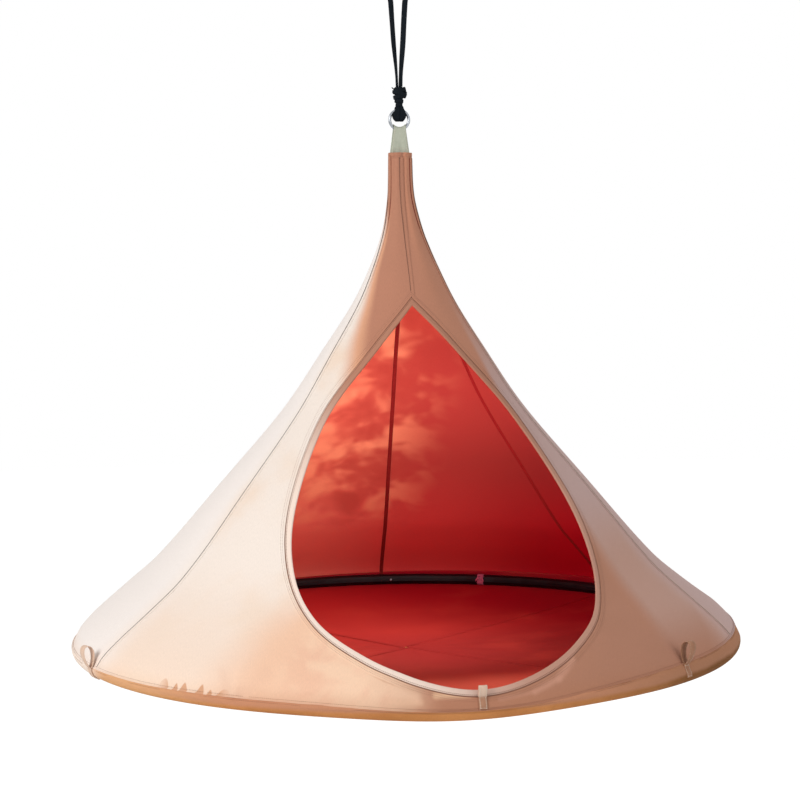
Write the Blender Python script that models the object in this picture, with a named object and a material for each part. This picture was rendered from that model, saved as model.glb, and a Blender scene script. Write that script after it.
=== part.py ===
"""A cone-shaped hanging tent: canvas canopy with a teardrop doorway, floor stretched on a
jointed tube ring, webbing collar, steel ring and a black strap up to a ceiling bracket.

Metres, +Z up. The origin is on the bracket's top face, which is screwed to the ceiling.
The doorway faces -Y. An angle round the tent, psi, is measured in degrees from the
doorway's middle, -Y, towards +X. A height, h, is measured up from the plane of the tube ring.
"""

import math

import bmesh
import bpy
from mathutils import Matrix, Vector

# Clearances
GAP = 0.0003
TUBE_GAP = 0.0008

# Ceiling bracket and its bolt
SCREW_SPACING = 0.100
SCREW_HOLE_R = 0.0042
PLATE_END = 0.010
PLATE_LENGTH = SCREW_SPACING + 2 * PLATE_END
PLATE_WIDTH = 0.044
PLATE_THICK = 0.004
EAR_SPACING = 0.076
EAR_DROP = 0.046
PIN_DROP = 0.035
PIN_R = 0.005
PIN_HEAD_R = 0.0085
PIN_HEAD_LENGTH = 0.006

# Black strap
STRAP_WIDTH = 0.015
STRAP_THICK = 0.004
STRAND_SPREAD = 0.048
STRAND_MEET = 0.0155
STRAND_LENGTH = 0.295
EYE_TAIL = 0.045
KNOT_HEIGHT = 0.052
BIGHT_LAYERS = 2
BIGHT_REACH = 0.0148
BIGHT_BUNCH = 0.014

# Steel ring
STEEL_RING_R = 0.026
STEEL_BAR_R = 0.004
KNOT_TO_RING = 0.0055

# Webbing collar
COLLAR_THICK = 0.0025
COLLAR_TOP_WIDTH = 0.032
COLLAR_NECK_WIDTH = 0.052
COLLAR_LEG_Y = 0.0078
COLLAR_TO_NECK = 0.0625
COLLAR_TAIL = 0.061

# Canopy
OUTER_R = 0.900
CLOTH = 0.0016
NECK_R = 0.031
NECK_DEPTH_SHARE = 0.77
NECK_TOP = 1.303
HEM_HEIGHT = 0.009
HEM_PROUD = 0.0012
PANEL_SEAMS = (0, 60, 126, 174, 240, 294)
PANEL_HOLLOWS = (0.006, 0.020, 0.006, 0.006, 0.008, 0.006)
SIDE_BEND = 0.007
BEND_HEIGHT = 0.97
BEND_SPREAD = 0.20
BEND_TOP = 1.25
BEND_FADE = 0.15
HOLLOW_BOTTOM = 0.08
HOLLOW_TOP = 1.05
ROUND_BELOW = 0.95
NECK_BLEND = 0.25
STEP = 6
# The cone's side from the rim up to the neck: height above the tube plane, and a radius that is
# stretched to fit between OUTER_R and NECK_R
PROFILE = (
    (0.000, 0.900),
    (0.040, 0.880),
    (0.080, 0.841),
    (0.140, 0.771),
    (0.220, 0.679),
    (0.420, 0.504),
    (0.620, 0.331),
    (0.780, 0.2205),
    (0.900, 0.1424),
    (1.000, 0.0925),
    (1.080, 0.0600),
    (1.140, 0.0435),
    (1.200, 0.0340),
    (NECK_TOP, 0.0310),
)
FIRST_ROW = 0.06
CANOPY_ROWS = (0.10, 0.16, 0.23, 0.31, 0.40, 0.50, 0.60, 0.69, 0.775, 0.85, 0.92, 0.99, 1.05, 1.12, 1.19, 1.25)

# Base seam: its usual height, its rise to one side, and its dip under the doorway
SEAM_HEIGHT = 0.022
SEAM_LIFT = 0.014
SEAM_DIP = 0.027
SEAM_DIP_SPREAD = 20.0
PIPING_R = 0.0012

# Doorway: half outline, as half width and height, from the pointed top to the bottom
DOOR_OUTLINE = (
    (0.000, 0.896),
    (0.103, 0.780),
    (0.243, 0.610),
    (0.345, 0.410),
    (0.373, 0.270),
    (0.342, 0.172),
    (0.249, 0.105),
    (0.122, 0.057),
    (0.000, 0.038),
)
BINDING_WIDTH = 0.013
BINDING_THICK = 0.004

# Floor
FLOOR_SAG = 0.025
DROOP = 0.012
DROOP_PLACE = -3.0
DROOP_SPREAD = 16.0
FLOOR_SEAMS = (36, 126, 216, 306)
FLOOR_RADII = (0.93, 0.72, 0.50, 0.28, 0.10, 0.004)

# Tube ring
TUBE_R = 0.016
TUBE_WALL = 0.0015
TUBE_JOINTS = (54, 114, 174, 234, 294, 354)
TUBE_SIDES = 12
PLUG_LENGTH = 0.050
PLUG_FIT = 0.0004
BUTTON_TO_JOINT = 0.029
BUTTON_R = 0.0037
BUTTON_PROUD = 0.0029
BUTTON_TRAVEL = 0.0046
BUTTON_FLANGE_R = 0.0046
BUTTON_FLANGE_THICK = 0.001
SPRING_WIDTH = 0.006
SPRING_THICK = 0.0008
SPRING_LENGTH = 0.030

# Webbings, ties and loops
WEBBING_TOP = 1.15
WEBBING_WIDTH = 0.011
WEBBING_THICK = 0.0014
TIE_WIDTH = 0.020
TIE_THICK = 0.0012
LOOP_TAPE_WIDTH = 0.022
LOOP_TAPE_THICK = 0.0014
LOOP_LEAN = 0.14
LOOP_LEAN_START = 0.0032
TAB_GAP = 0.0006
LOOP_HEIGHT = 0.056
LOOP_BULGE = 0.034
LOOP_PLACES = {"right": 38.3, "back": 153, "left": 288}
DOOR_LOOP_WIDTH = 0.020
DOOR_LOOP_HEIGHT = 0.026
DOOR_LOOP_BULGE = 0.012
TAB_LENGTH = 0.030
DOOR_TAB_LENGTH = 0.026

# Worked out from the sizes above
WRAP_IN = TUBE_R + TUBE_GAP
WRAP_OUT = WRAP_IN + CLOTH
RING_R = OUTER_R - WRAP_OUT
WRAP_TANGENT = math.radians(40)
FACET_SHARE = math.cos(math.radians(STEP / 2))
PIN_Z = -PIN_DROP
KNOT_TOP_Z = PIN_Z - STRAND_LENGTH
KNOT_BOTTOM_Z = KNOT_TOP_Z - KNOT_HEIGHT
RING_TOP_Z = KNOT_BOTTOM_Z - KNOT_TO_RING
RING_CENTRE_Z = RING_TOP_Z - STEEL_BAR_R - STEEL_RING_R
COLLAR_AXIS_Z = RING_CENTRE_Z - STEEL_RING_R
NECK_TOP_Z = COLLAR_AXIS_Z - COLLAR_TO_NECK
TUBE_Z = NECK_TOP_Z - NECK_TOP
HEM_BOTTOM = NECK_TOP - HEM_HEIGHT

COLOURS = {
    "canvas": ((0.75, 0.36, 0.22, 1), 0.85, 0.0),
    "floor_cloth": ((0.62, 0.22, 0.08, 1), 0.85, 0.0),
    "binding": ((0.78, 0.52, 0.40, 1), 0.8, 0.0),
    "dark_webbing": ((0.32, 0.05, 0.04, 1), 0.8, 0.0),
    "collar": ((0.42, 0.45, 0.34, 1), 0.8, 0.0),
    "strap": ((0.008, 0.010, 0.013, 1), 0.7, 0.0),
    "steel": ((0.75, 0.76, 0.78, 1), 0.2, 1.0),
    "zinc": ((0.55, 0.56, 0.58, 1), 0.4, 1.0),
    "tube": ((0.012, 0.011, 0.015, 1), 0.35, 0.3),
    "button": ((0.25, 0.25, 0.27, 1), 0.3, 1.0),
    "pink_tape": ((0.45, 0.08, 0.14, 1), 0.8, 0.0),
    "loop_tape": ((0.52, 0.24, 0.16, 1), 0.8, 0.0),
}


# Scene and objects


def clear_scene():
    for old in list(bpy.data.objects):
        bpy.data.objects.remove(old, do_unlink=True)


def material(name):
    found = bpy.data.materials.get(name)
    if found:
        return found
    colour, roughness, metallic = COLOURS[name]
    made = bpy.data.materials.new(name)
    made.use_nodes = True
    shader = made.node_tree.nodes["Principled BSDF"]
    shader.inputs["Base Color"].default_value = colour
    shader.inputs["Roughness"].default_value = roughness
    shader.inputs["Metallic"].default_value = metallic
    return made


def add_object(name, verts, faces, slot, origin=(0, 0, 0), smooth=35):
    """An object from points in world space, with its own origin and its faces made to point out."""
    origin = Vector(origin)
    mesh = bpy.data.meshes.new(name)
    mesh.from_pydata([Vector(v) - origin for v in verts], [], faces)
    work = bmesh.new()
    work.from_mesh(mesh)
    bmesh.ops.recalc_face_normals(work, faces=work.faces)
    if work.calc_volume(signed=True) < 0:
        bmesh.ops.reverse_faces(work, faces=work.faces)
    work.to_mesh(mesh)
    work.free()
    mesh.shade_smooth()
    mesh.set_sharp_from_angle(angle=math.radians(smooth))
    mesh.materials.append(material(slot))
    made = bpy.data.objects.new(name, mesh)
    made.location = origin
    bpy.context.collection.objects.link(made)
    return made


def loft(sections, closed=False):
    """Points and faces of a solid through equal closed sections, capped unless it is a closed ring."""
    sides = len(sections[0])
    verts = [p for section in sections for p in section]
    faces = []
    count = len(sections)
    for i in range(count if closed else count - 1):
        a = i * sides
        b = (i + 1) % count * sides
        for j in range(sides):
            k = (j + 1) % sides
            faces.append((a + j, a + k, b + k, b + j))
    if not closed:
        faces.append(tuple(range(sides))[::-1])
        faces.append(tuple(range((count - 1) * sides, count * sides)))
    return verts, faces


def sheet(outer, inner, wrap=False):
    """Points and faces of a thin closed sheet between two equal grids of points, in triangles."""
    rows = len(outer)
    columns = len(outer[0])
    verts = [p for row in outer for p in row] + [p for row in inner for p in row]
    back = rows * columns
    faces = []
    spans = columns if wrap else columns - 1
    for i in range(rows - 1):
        for j in range(spans):
            k = (j + 1) % columns
            a, b = i * columns + j, i * columns + k
            c, d = (i + 1) * columns + k, (i + 1) * columns + j
            shorter = (Vector(verts[a]) - verts[c]).length < (Vector(verts[b]) - verts[d]).length
            for face in ((a, b, c), (a, c, d)) if shorter else ((a, b, d), (b, c, d)):
                faces.append(face)
                faces.append(tuple(back + v for v in reversed(face)))
    for j in range(spans):
        k = (j + 1) % columns
        last = (rows - 1) * columns
        faces.append((j, back + j, back + k, k))
        faces.append((last + j, last + k, back + last + k, back + last + j))
    if not wrap:
        for i in range(rows - 1):
            a, b = i * columns, (i + 1) * columns
            faces.append((a, b, back + b, back + a))
            a, b = a + columns - 1, b + columns - 1
            faces.append((a, back + a, back + b, b))
    return verts, faces


def cutter(name, verts, faces):
    made = add_object(name, verts, faces, "zinc")
    made.hide_render = True
    made.display_type = "WIRE"
    return made


def cut(target, tool):
    boolean = target.modifiers.new("cut " + tool.name, "BOOLEAN")
    boolean.operation = "DIFFERENCE"
    boolean.solver = "EXACT"
    boolean.object = tool


def cylinder(start, end, radius, sides, twist=0.5):
    """Points and faces of a round bar between two points."""
    start, end = Vector(start), Vector(end)
    along = (end - start).normalized()
    side = along.orthogonal().normalized()
    up = along.cross(side)
    sections = []
    for centre in (start, end):
        turns = [math.tau * (i + twist) / sides for i in range(sides)]
        sections.append([centre + radius * (side * math.cos(t) + up * math.sin(t)) for t in turns])
    return loft(sections)


# Canopy surface


def curve_value(points, x):
    """A smooth curve through points given as (x, y), with x increasing."""
    slopes = []
    for i, (px, py) in enumerate(points):
        before = points[max(i - 1, 0)]
        after = points[min(i + 1, len(points) - 1)]
        slopes.append((after[1] - before[1]) / (after[0] - before[0]))
    x = min(max(x, points[0][0]), points[-1][0])
    i = max(j for j in range(len(points) - 1) if points[j][0] <= x)
    (x0, y0), (x1, y1) = points[i], points[i + 1]
    span = x1 - x0
    t = (x - x0) / span
    return (
        y0 * (2 * t**3 - 3 * t**2 + 1)
        + slopes[i] * span * (t**3 - 2 * t**2 + t)
        + y1 * (3 * t**2 - 2 * t**3)
        + slopes[i + 1] * span * (t**3 - t**2)
    )


def smooth_step(t):
    t = min(max(t, 0.0), 1.0)
    return t * t * (3 - 2 * t)


def wrap_point(turn, radius):
    """Radius and height at an angle round the tube's own centre line."""
    return RING_R + radius * math.cos(turn), radius * math.sin(turn)


def stretched(radius):
    """A radius of the profile, fitted between the tent's own rim and neck."""
    rim, neck = PROFILE[0][1], PROFILE[-1][1]
    return NECK_R + (radius - neck) * (OUTER_R - NECK_R) / (rim - neck)


TANGENT_POINT = wrap_point(WRAP_TANGENT, WRAP_OUT)[::-1]
FULL_PROFILE = (TANGENT_POINT,) + tuple((h, stretched(radius)) for h, radius in PROFILE[1:])


def cloth_radius(h):
    """Outer radius of the cloth at a height above the tube plane."""
    if h < TANGENT_POINT[0]:
        return RING_R + math.sqrt(max(WRAP_OUT**2 - h**2, 0))
    return curve_value(FULL_PROFILE, h)


def panel_hollow(psi, h):
    """How far the cloth sinks between two seams, least at the rim and the neck."""
    rise = (h - HOLLOW_BOTTOM) / (HOLLOW_TOP - HOLLOW_BOTTOM)
    if not 0 < rise < 1:
        return 0.0
    for i, start in enumerate(PANEL_SEAMS):
        end = PANEL_SEAMS[(i + 1) % len(PANEL_SEAMS)]
        span = (end - start) % 360
        inside = (psi - start) % 360
        if inside < span:
            depth = PANEL_HOLLOWS[i] * math.sin(math.pi * rise**0.55)
            return depth * math.sin(math.pi * inside / span) ** 2
    return 0.0


def side_bend(h):
    """How far the upper cone stands to the right of the middle, where the cloth hangs unevenly."""
    away = (h - BEND_HEIGHT) / BEND_SPREAD
    return SIDE_BEND * math.exp(-(away**2)) * smooth_step((BEND_TOP - h) / BEND_FADE)


def depth_share(h):
    """The neck is flatter front to back than it is wide; lower down the cone is round."""
    return 1 - (1 - NECK_DEPTH_SHARE) * smooth_step((h - ROUND_BELOW) / NECK_BLEND)


def skin(psi, h, out=0.0, along=0.0):
    """A point on the cloth's outer face, moved out along its normal and along the rim."""
    radius = cloth_radius(h) - panel_hollow(psi, h)
    slope = (cloth_radius(h + 0.002) - cloth_radius(h - 0.002)) / 0.004
    lean = math.hypot(1, slope)
    radius += out / lean
    height = h - out * slope / lean
    share = depth_share(h)
    turn = math.radians(psi)
    x = radius * math.sin(turn) + along * math.cos(turn) + side_bend(h)
    y = -radius * share * math.cos(turn) + along * math.sin(turn)
    return Vector((x, y, TUBE_Z + height))


def seam_height(psi):
    turn = (psi + 180) % 360 - 180
    dip = SEAM_DIP * math.exp(-((turn / SEAM_DIP_SPREAD) ** 2))
    return SEAM_HEIGHT + SEAM_LIFT * math.sin(math.radians(psi)) - dip


def grid_angles(start, end):
    span = (end - start) % 360
    return [start + STEP * i for i in range(round(span / STEP) + 1)]


def edge_shift(i, count):
    """Half a clearance along the rim, at the first and last column of a panel."""
    if i == 0:
        return GAP / 2
    if i == count - 1:
        return -GAP / 2
    return 0.0


# Ceiling bracket, bolt and nut


def build_bracket():
    half = PLATE_LENGTH / 2
    inner = EAR_SPACING / 2 - PLATE_THICK
    outer = EAR_SPACING / 2
    outline = [
        (-half, 0),
        (half, 0),
        (half, -PLATE_THICK),
        (outer, -PLATE_THICK),
        (outer, -EAR_DROP),
        (inner, -EAR_DROP),
        (inner, -PLATE_THICK),
        (-inner, -PLATE_THICK),
        (-inner, -EAR_DROP),
        (-outer, -EAR_DROP),
        (-outer, -PLATE_THICK),
        (-half, -PLATE_THICK),
    ]
    sections = [[(x, y, z) for x, z in outline] for y in (-PLATE_WIDTH / 2, PLATE_WIDTH / 2)]
    plate = add_object("ceiling_bracket", *loft(sections), "zinc")
    reach = PLATE_LENGTH / 2 + 0.01
    bolt_hole = cylinder((-reach, 0, PIN_Z), (reach, 0, PIN_Z), PIN_R + GAP, 16)
    cut(plate, cutter("bolt_hole", *bolt_hole))
    for side in (-1, 1):
        x = side * SCREW_SPACING / 2
        hole = cylinder((x, 0, 0.01), (x, 0, -0.01), SCREW_HOLE_R, 16)
        cut(plate, cutter(f"screw_hole_{side + 2}", *hole))


def hex_section(x, radius):
    turns = [math.tau * i / 6 for i in range(6)]
    return [Vector((x, radius * math.cos(t), PIN_Z + radius * math.sin(t))) for t in turns]


def build_bolt():
    head_face = -EAR_SPACING / 2 - GAP
    far_end = EAR_SPACING / 2 + GAP + PIN_HEAD_LENGTH + 0.003
    sides = 12
    turns = [math.tau * i / sides for i in range(sides)]

    def section(x, radius, flat):
        points = []
        for t in turns:
            reach = radius
            if flat:
                local = (t + math.pi / 6) % (math.pi / 3) - math.pi / 6
                reach = radius * math.cos(math.pi / 6) / math.cos(local)
            points.append((x, reach * math.cos(t), PIN_Z + reach * math.sin(t)))
        return points

    sections = [
        section(head_face - PIN_HEAD_LENGTH, PIN_HEAD_R, True),
        section(head_face, PIN_HEAD_R, True),
        section(head_face, PIN_R, False),
        section(far_end, PIN_R, False),
    ]
    add_object("hanger_bolt", *loft(sections), "zinc")
    start = EAR_SPACING / 2 + GAP
    end = start + PIN_HEAD_LENGTH
    outer = [hex_section(start, PIN_HEAD_R), hex_section(end, PIN_HEAD_R)]
    bore = (PIN_R + 2 * GAP) / math.cos(math.pi / 6)
    inner = [hex_section(start, bore), hex_section(end, bore)]
    add_object("hanger_nut", *sheet(outer, inner, wrap=True), "zinc")


# Black strap


def band(path, widths, thickness, across=(1, 0, 0)):
    """Sections of a flat band that follows a path; across is the direction of its width."""
    points = [Vector(p) for p in path]
    sections = []
    for i, point in enumerate(points):
        before = points[max(i - 1, 0)]
        after = points[min(i + 1, len(points) - 1)]
        along = (after - before).normalized()
        side = Vector(across[i]) if isinstance(across, list) else Vector(across)
        side = (side - along * side.dot(along)).normalized()
        face = along.cross(side)
        w = widths[i] / 2
        t = thickness / 2
        corners = ((-w, -t), (w, -t), (w, t), (-w, t))
        sections.append([point + side * a + face * b for a, b in corners])
    return sections


def strand_path(side):
    """Up from the knot, over the bolt from the front, and down again behind as a sewn eye."""
    layer = (STRAP_THICK + 2 * GAP) / 2
    eye = PIN_R + GAP + STRAP_THICK / 2
    top_x = side * STRAND_SPREAD / 2
    low_x = side * STRAND_MEET / 2
    eye_z = PIN_Z - EYE_TAIL
    path = []
    steps = 9
    for i in range(steps):
        t = i / steps
        z = KNOT_TOP_Z + GAP + (eye_z - KNOT_TOP_Z) * t
        spread = (z - KNOT_TOP_Z) / STRAND_LENGTH
        x = low_x + (top_x - low_x) * spread**1.25
        path.append((x, -layer * smooth_step((t - 0.7) / 0.25), z))
    path.append((top_x, -layer, eye_z))
    path.append((top_x, -layer - 0.001, PIN_Z - 0.020))
    for turn in range(-20, 201, 20):
        t = math.radians(turn)
        path.append((top_x, -eye * math.cos(t), PIN_Z + eye * math.sin(t)))
    path.append((top_x, layer + 0.001, PIN_Z - 0.020))
    path.append((top_x, layer, eye_z))
    return path


def build_strap():
    for name, side in (("strap_left", -1), ("strap_right", 1)):
        path = strand_path(side)
        sections = band(path, [STRAP_WIDTH] * len(path), STRAP_THICK)
        add_object(name, *loft(sections), "strap")
    build_knot()
    for name, side in (("strap_bight_left", -1), ("strap_bight_right", 1)):
        build_bight(name, side)


def build_knot():
    # Share of the knot's height from its top, width, depth, and sideways shift
    shape = (
        (0.00, 0.031, 0.014, 0.000),
        (0.10, 0.036, 0.022, -0.001),
        (0.25, 0.037, 0.027, 0.002),
        (0.42, 0.034, 0.028, 0.003),
        (0.62, 0.027, 0.026, 0.000),
        (0.82, 0.021, 0.023, 0.000),
        (1.00, 0.021, 0.025, 0.000),
    )
    sections = []
    for share, width, depth, shift in shape:
        z = KNOT_TOP_Z - GAP - share * (KNOT_HEIGHT - 2 * GAP)
        turns = [math.tau * i / 14 for i in range(14)]
        points = [(shift + width / 2 * math.cos(t), depth / 2 * math.sin(t), z) for t in turns]
        sections.append(points)
    add_object("strap_knot", *loft(sections), "strap", smooth=80)


def build_bight(name, side):
    """Bunched webbing from the knot's front, down under the ring's top bar, up to the knot's back."""
    layer = STRAP_THICK * BIGHT_LAYERS
    bar_z = math.sqrt(STEEL_RING_R**2 - BIGHT_REACH**2)
    inside = STEEL_BAR_R + GAP + 0.0011
    near = GAP / 2
    sections = []

    def section(inner, outer, inner_x, outer_x):
        points = ((near, inner), (inner_x, inner), (outer_x, outer), (near, outer))
        sections.append([(side * x, y, RING_CENTRE_Z + z) for x, (y, z) in points])

    top = KNOT_BOTTOM_Z - RING_CENTRE_Z - GAP
    legs = ((top, 0.0024, 0.0094), (top - 0.008, inside - 0.0002, 0.0115))
    for z, inner_y, reach in legs:
        section((-inner_y, z), (-inner_y - layer, z), reach, reach)
    for turn in range(0, 181, 20):
        t = math.radians(turn)
        s = math.sin(t)
        outer = inside + layer
        deep = outer + BIGHT_BUNCH * s**2
        width = BIGHT_REACH + 0.0035 * math.sin(2 * t if turn < 90 else 2 * math.pi - 2 * t) ** 2 - 0.005 * s**6
        inner_point = (-inside * math.cos(t), bar_z - inside * s)
        section(inner_point, (-outer * math.cos(t), bar_z - deep * s), BIGHT_REACH - 0.001 * s, width)
    for z, inner_y, reach in reversed(legs):
        section((inner_y, z), (inner_y + layer, z), reach, reach)
    add_object(name, *loft(sections), "strap", smooth=70)


# Steel ring


def build_steel_ring():
    around, sides = 28, 8
    sections = []
    for i in range(around):
        a = math.tau * i / around
        section = []
        for j in range(sides):
            b = math.tau * j / sides
            reach = STEEL_RING_R + STEEL_BAR_R * math.cos(b)
            z = RING_CENTRE_Z + reach * math.cos(a)
            section.append((reach * math.sin(a), STEEL_BAR_R * math.sin(b), z))
        sections.append(section)
    origin = (0, 0, RING_CENTRE_Z)
    add_object("steel_ring", *loft(sections, closed=True), "steel", origin, smooth=60)


# Collar of folded webbing


def collar_leg_half_width(z):
    """Half width of a leg: it widens down to the neck and fits inside the fabric there."""
    leg_out = COLLAR_LEG_Y + COLLAR_THICK
    neck_in = NECK_R - CLOTH
    depth_in = NECK_R * NECK_DEPTH_SHARE - CLOTH
    inside = neck_in * math.sqrt(1 - (leg_out / depth_in) ** 2) - GAP
    widest = min(COLLAR_NECK_WIDTH / 2, inside)
    share = (COLLAR_AXIS_Z - z) / COLLAR_TO_NECK
    half = COLLAR_TOP_WIDTH / 2 + (widest - COLLAR_TOP_WIDTH / 2) * share
    return min(max(half, COLLAR_TOP_WIDTH / 2), widest)


def build_collar():
    columns = 7
    hole_r = STEEL_RING_R - STEEL_BAR_R - 2 * GAP
    crest_turns = (-90, -65, -40, -20, 0, 20, 40, 65, 90)
    leg_drops = (0.020, 0.042, COLLAR_TO_NECK, COLLAR_TO_NECK + COLLAR_TAIL)

    def crest_point(share, turn, extra):
        x = share * COLLAR_TOP_WIDTH / 2
        saddle = STEEL_RING_R - math.sqrt(hole_r**2 - x**2)
        reach = saddle + (COLLAR_LEG_Y - saddle) * (abs(turn) / 90) ** 2 + extra
        t = math.radians(turn)
        return Vector((x, reach * math.sin(t), COLLAR_AXIS_Z + reach * math.cos(t)))

    def leg_point(share, drop, side, extra):
        z = COLLAR_AXIS_Z - drop
        return Vector((share * collar_leg_half_width(z), side * (COLLAR_LEG_Y + extra), z))

    grids = []
    shares = [2 * i / (columns - 1) - 1 for i in range(columns)]
    for extra in (COLLAR_THICK, 0.0):
        rows = [[leg_point(s, drop, -1, extra) for s in shares] for drop in reversed(leg_drops)]
        rows += [[crest_point(s, turn, extra) for s in shares] for turn in crest_turns]
        rows += [[leg_point(s, drop, 1, extra) for s in shares] for drop in leg_drops]
        grids.append(rows)
    add_object("collar_webbing", *sheet(*grids), "collar", (0, 0, COLLAR_AXIS_Z))


# Neck hem and canopy panels


def build_hem():
    angles = grid_angles(0, 360 - STEP)[::2]
    rows_out, rows_in = [], []
    for h in (NECK_TOP, HEM_BOTTOM + GAP):
        rows_out.append([skin(psi, h, HEM_PROUD) for psi in angles])
        rows_in.append([skin(psi, h, -CLOTH) for psi in angles])
    add_object("neck_hem", *sheet(rows_out, rows_in, wrap=True), "canvas")


def panel_heights(psi):
    """Rows of a canopy panel: close together over the tube, then set by the profile."""
    start = seam_height(psi) + GAP / 2
    low = [start + (FIRST_ROW - start) * t for t in (0, 0.12, 0.26, 0.43, 0.67, 1)]
    return low + list(CANOPY_ROWS) + [HEM_BOTTOM]


def build_canopy():
    door = door_cutter()
    for i, start in enumerate(PANEL_SEAMS):
        end = PANEL_SEAMS[(i + 1) % len(PANEL_SEAMS)]
        angles = grid_angles(start, end)
        outer, inner = [], []
        for row in range(len(panel_heights(0))):
            out_row, in_row = [], []
            for j, psi in enumerate(angles):
                h = panel_heights(psi)[row]
                shift = edge_shift(j, len(angles))
                out_row.append(skin(psi, h, 0, shift))
                in_row.append(skin(psi, h, -CLOTH, shift))
            outer.append(out_row)
            inner.append(in_row)
        panel = add_object(f"canopy_panel_{i + 1}", *sheet(outer, inner), "canvas", smooth=50)
        if i in (0, len(PANEL_SEAMS) - 1):
            cut(panel, door)


# Doorway and its binding


def half_outline():
    """The doorway's right half as a smooth line of (x, h), from the point at the top."""
    points = [Vector(p) for p in DOOR_OUTLINE]
    before = points[0] * 2 - points[1]
    after = Vector((-points[-2].x, points[-2].y))
    chain = [before] + points + [after]
    line = []
    steps = 3
    for i in range(1, len(chain) - 2):
        p0, p1, p2, p3 = chain[i - 1 : i + 3]
        for k in range(steps):
            t = k / steps
            line.append(
                0.5
                * (
                    2 * p1
                    + (p2 - p0) * t
                    + (2 * p0 - 5 * p1 + 4 * p2 - p3) * t**2
                    + (3 * p1 - p0 - 3 * p2 + p3) * t**3
                )
            )
    line.append(points[-1])
    return line


def door_line(grow):
    """The whole doorway outline moved outwards by grow, as a closed list of (x, h)."""
    right = half_outline()
    loop = right + [Vector((-p.x, p.y)) for p in reversed(right[1:-1])]
    grown = []
    count = len(loop)
    for i, point in enumerate(loop):
        before, after = loop[i - 1], loop[(i + 1) % count]
        first = (point - before).normalized()
        second = (after - point).normalized()
        normal_a = Vector((-first.y, first.x))
        normal_b = Vector((-second.y, second.x))
        mitre = (normal_a + normal_b).normalized()
        grown.append(point + mitre * grow / max(mitre.dot(normal_a), 0.5))
    return grown


def door_cutter():
    line = door_line(BINDING_WIDTH + GAP)
    far, near = -OUTER_R - 0.1, -0.03
    sections = [[(p.x, y, TUBE_Z + p.y) for p in line] for y in (far, near)]
    return cutter("door_cutter", *loft(sections))


def front_point(x, h, out):
    """A point of the front cloth straight behind (x, h), moved out or in along Y."""
    psi = 0.0
    for _ in range(12):
        radius = cloth_radius(h) - panel_hollow(psi, h)
        psi = math.degrees(math.asin(min(max((x - side_bend(h)) / radius, -0.98), 0.98)))
    radius = cloth_radius(h) - panel_hollow(psi, h)
    slope = (cloth_radius(h + 0.002) - cloth_radius(h - 0.002)) / 0.004
    facing = math.cos(math.radians(psi)) / math.hypot(1, slope)
    y = -radius * math.cos(math.radians(psi)) * depth_share(h)
    return Vector((x, y - (out - CLOTH / 2) / facing, TUBE_Z + h))


def build_binding():
    inner_line = door_line(0.0)
    outer_line = door_line(BINDING_WIDTH)
    half = BINDING_THICK / 2
    sections = []
    for a, b in zip(inner_line, outer_line):
        section = [front_point(a.x, a.y, half), front_point(b.x, b.y, half)]
        section += [front_point(b.x, b.y, -half), front_point(a.x, a.y, -half)]
        sections.append(section)
    add_object("door_binding", *loft(sections, closed=True), "binding")


# Webbings inside the front and back seams


def build_webbings():
    beside_leg = (NECK_TOP - 0.015, NECK_TOP - COLLAR_TAIL + 0.002)
    clearance = 2.5 * GAP
    # The lowest row of the canopy that each webbing reaches
    for name, psi, lowest in (("back_webbing", PANEL_SEAMS[3], 1), ("front_webbing", PANEL_SEAMS[0], 16)):
        side = -1 if psi == 0 else 1
        slant = abs(math.sin(math.radians(psi))) * WEBBING_WIDTH / 2
        leg = COLLAR_LEG_Y + COLLAR_THICK + GAP + slant
        heights = [h for h in reversed(panel_heights(psi)[lowest:]) if h < WEBBING_TOP]
        faces = []
        for out in (0.0, WEBBING_THICK):
            row = [Vector((0, side * (leg + WEBBING_THICK - out), TUBE_Z + h)) for h in beside_leg]
            row += [skin(psi, h, -CLOTH - clearance - out) for h in heights]
            faces.append(row)
        turn = math.radians(psi)
        across = Vector((math.cos(turn), math.sin(turn), 0)) * WEBBING_WIDTH / 2
        sections = []
        for a, b in zip(*faces):
            sections.append([a - across, a + across, b + across, b - across])
        add_object(name, *loft(sections), "dark_webbing")


# Base seam piping


def build_piping():
    sections = []
    sides = 5
    for psi in grid_angles(0, 360 - STEP):
        h = seam_height(psi)
        centre = skin(psi, h, PIPING_R + GAP)
        out = (skin(psi, h, 1.0) - skin(psi, h)).normalized()
        along = Vector((math.cos(math.radians(psi)), math.sin(math.radians(psi)), 0))
        up = out.cross(along)
        turns = [math.tau * i / sides for i in range(sides)]
        sections.append([centre + PIPING_R * (out * math.cos(t) + up * math.sin(t)) for t in turns])
    add_object("base_piping", *loft(sections, closed=True), "binding", smooth=80)


# Floor panels


def polar(psi, radius, h, along=0.0):
    turn = math.radians(psi)
    x = radius * math.sin(turn) + along * math.cos(turn)
    y = -radius * math.cos(turn) + along * math.sin(turn)
    return Vector((x, y, TUBE_Z + h))


def floor_height(radius):
    low = WRAP_IN * math.sin(math.radians(75))
    return -low - FLOOR_SAG * (1 - (radius / RING_R) ** 2)


def front_droop(psi):
    """The slack of the floor cloth that hangs below the tube in front of the doorway."""
    turn = (psi - DROOP_PLACE + 180) % 360 - 180
    return DROOP * math.exp(-((turn / DROOP_SPREAD) ** 2))


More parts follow.
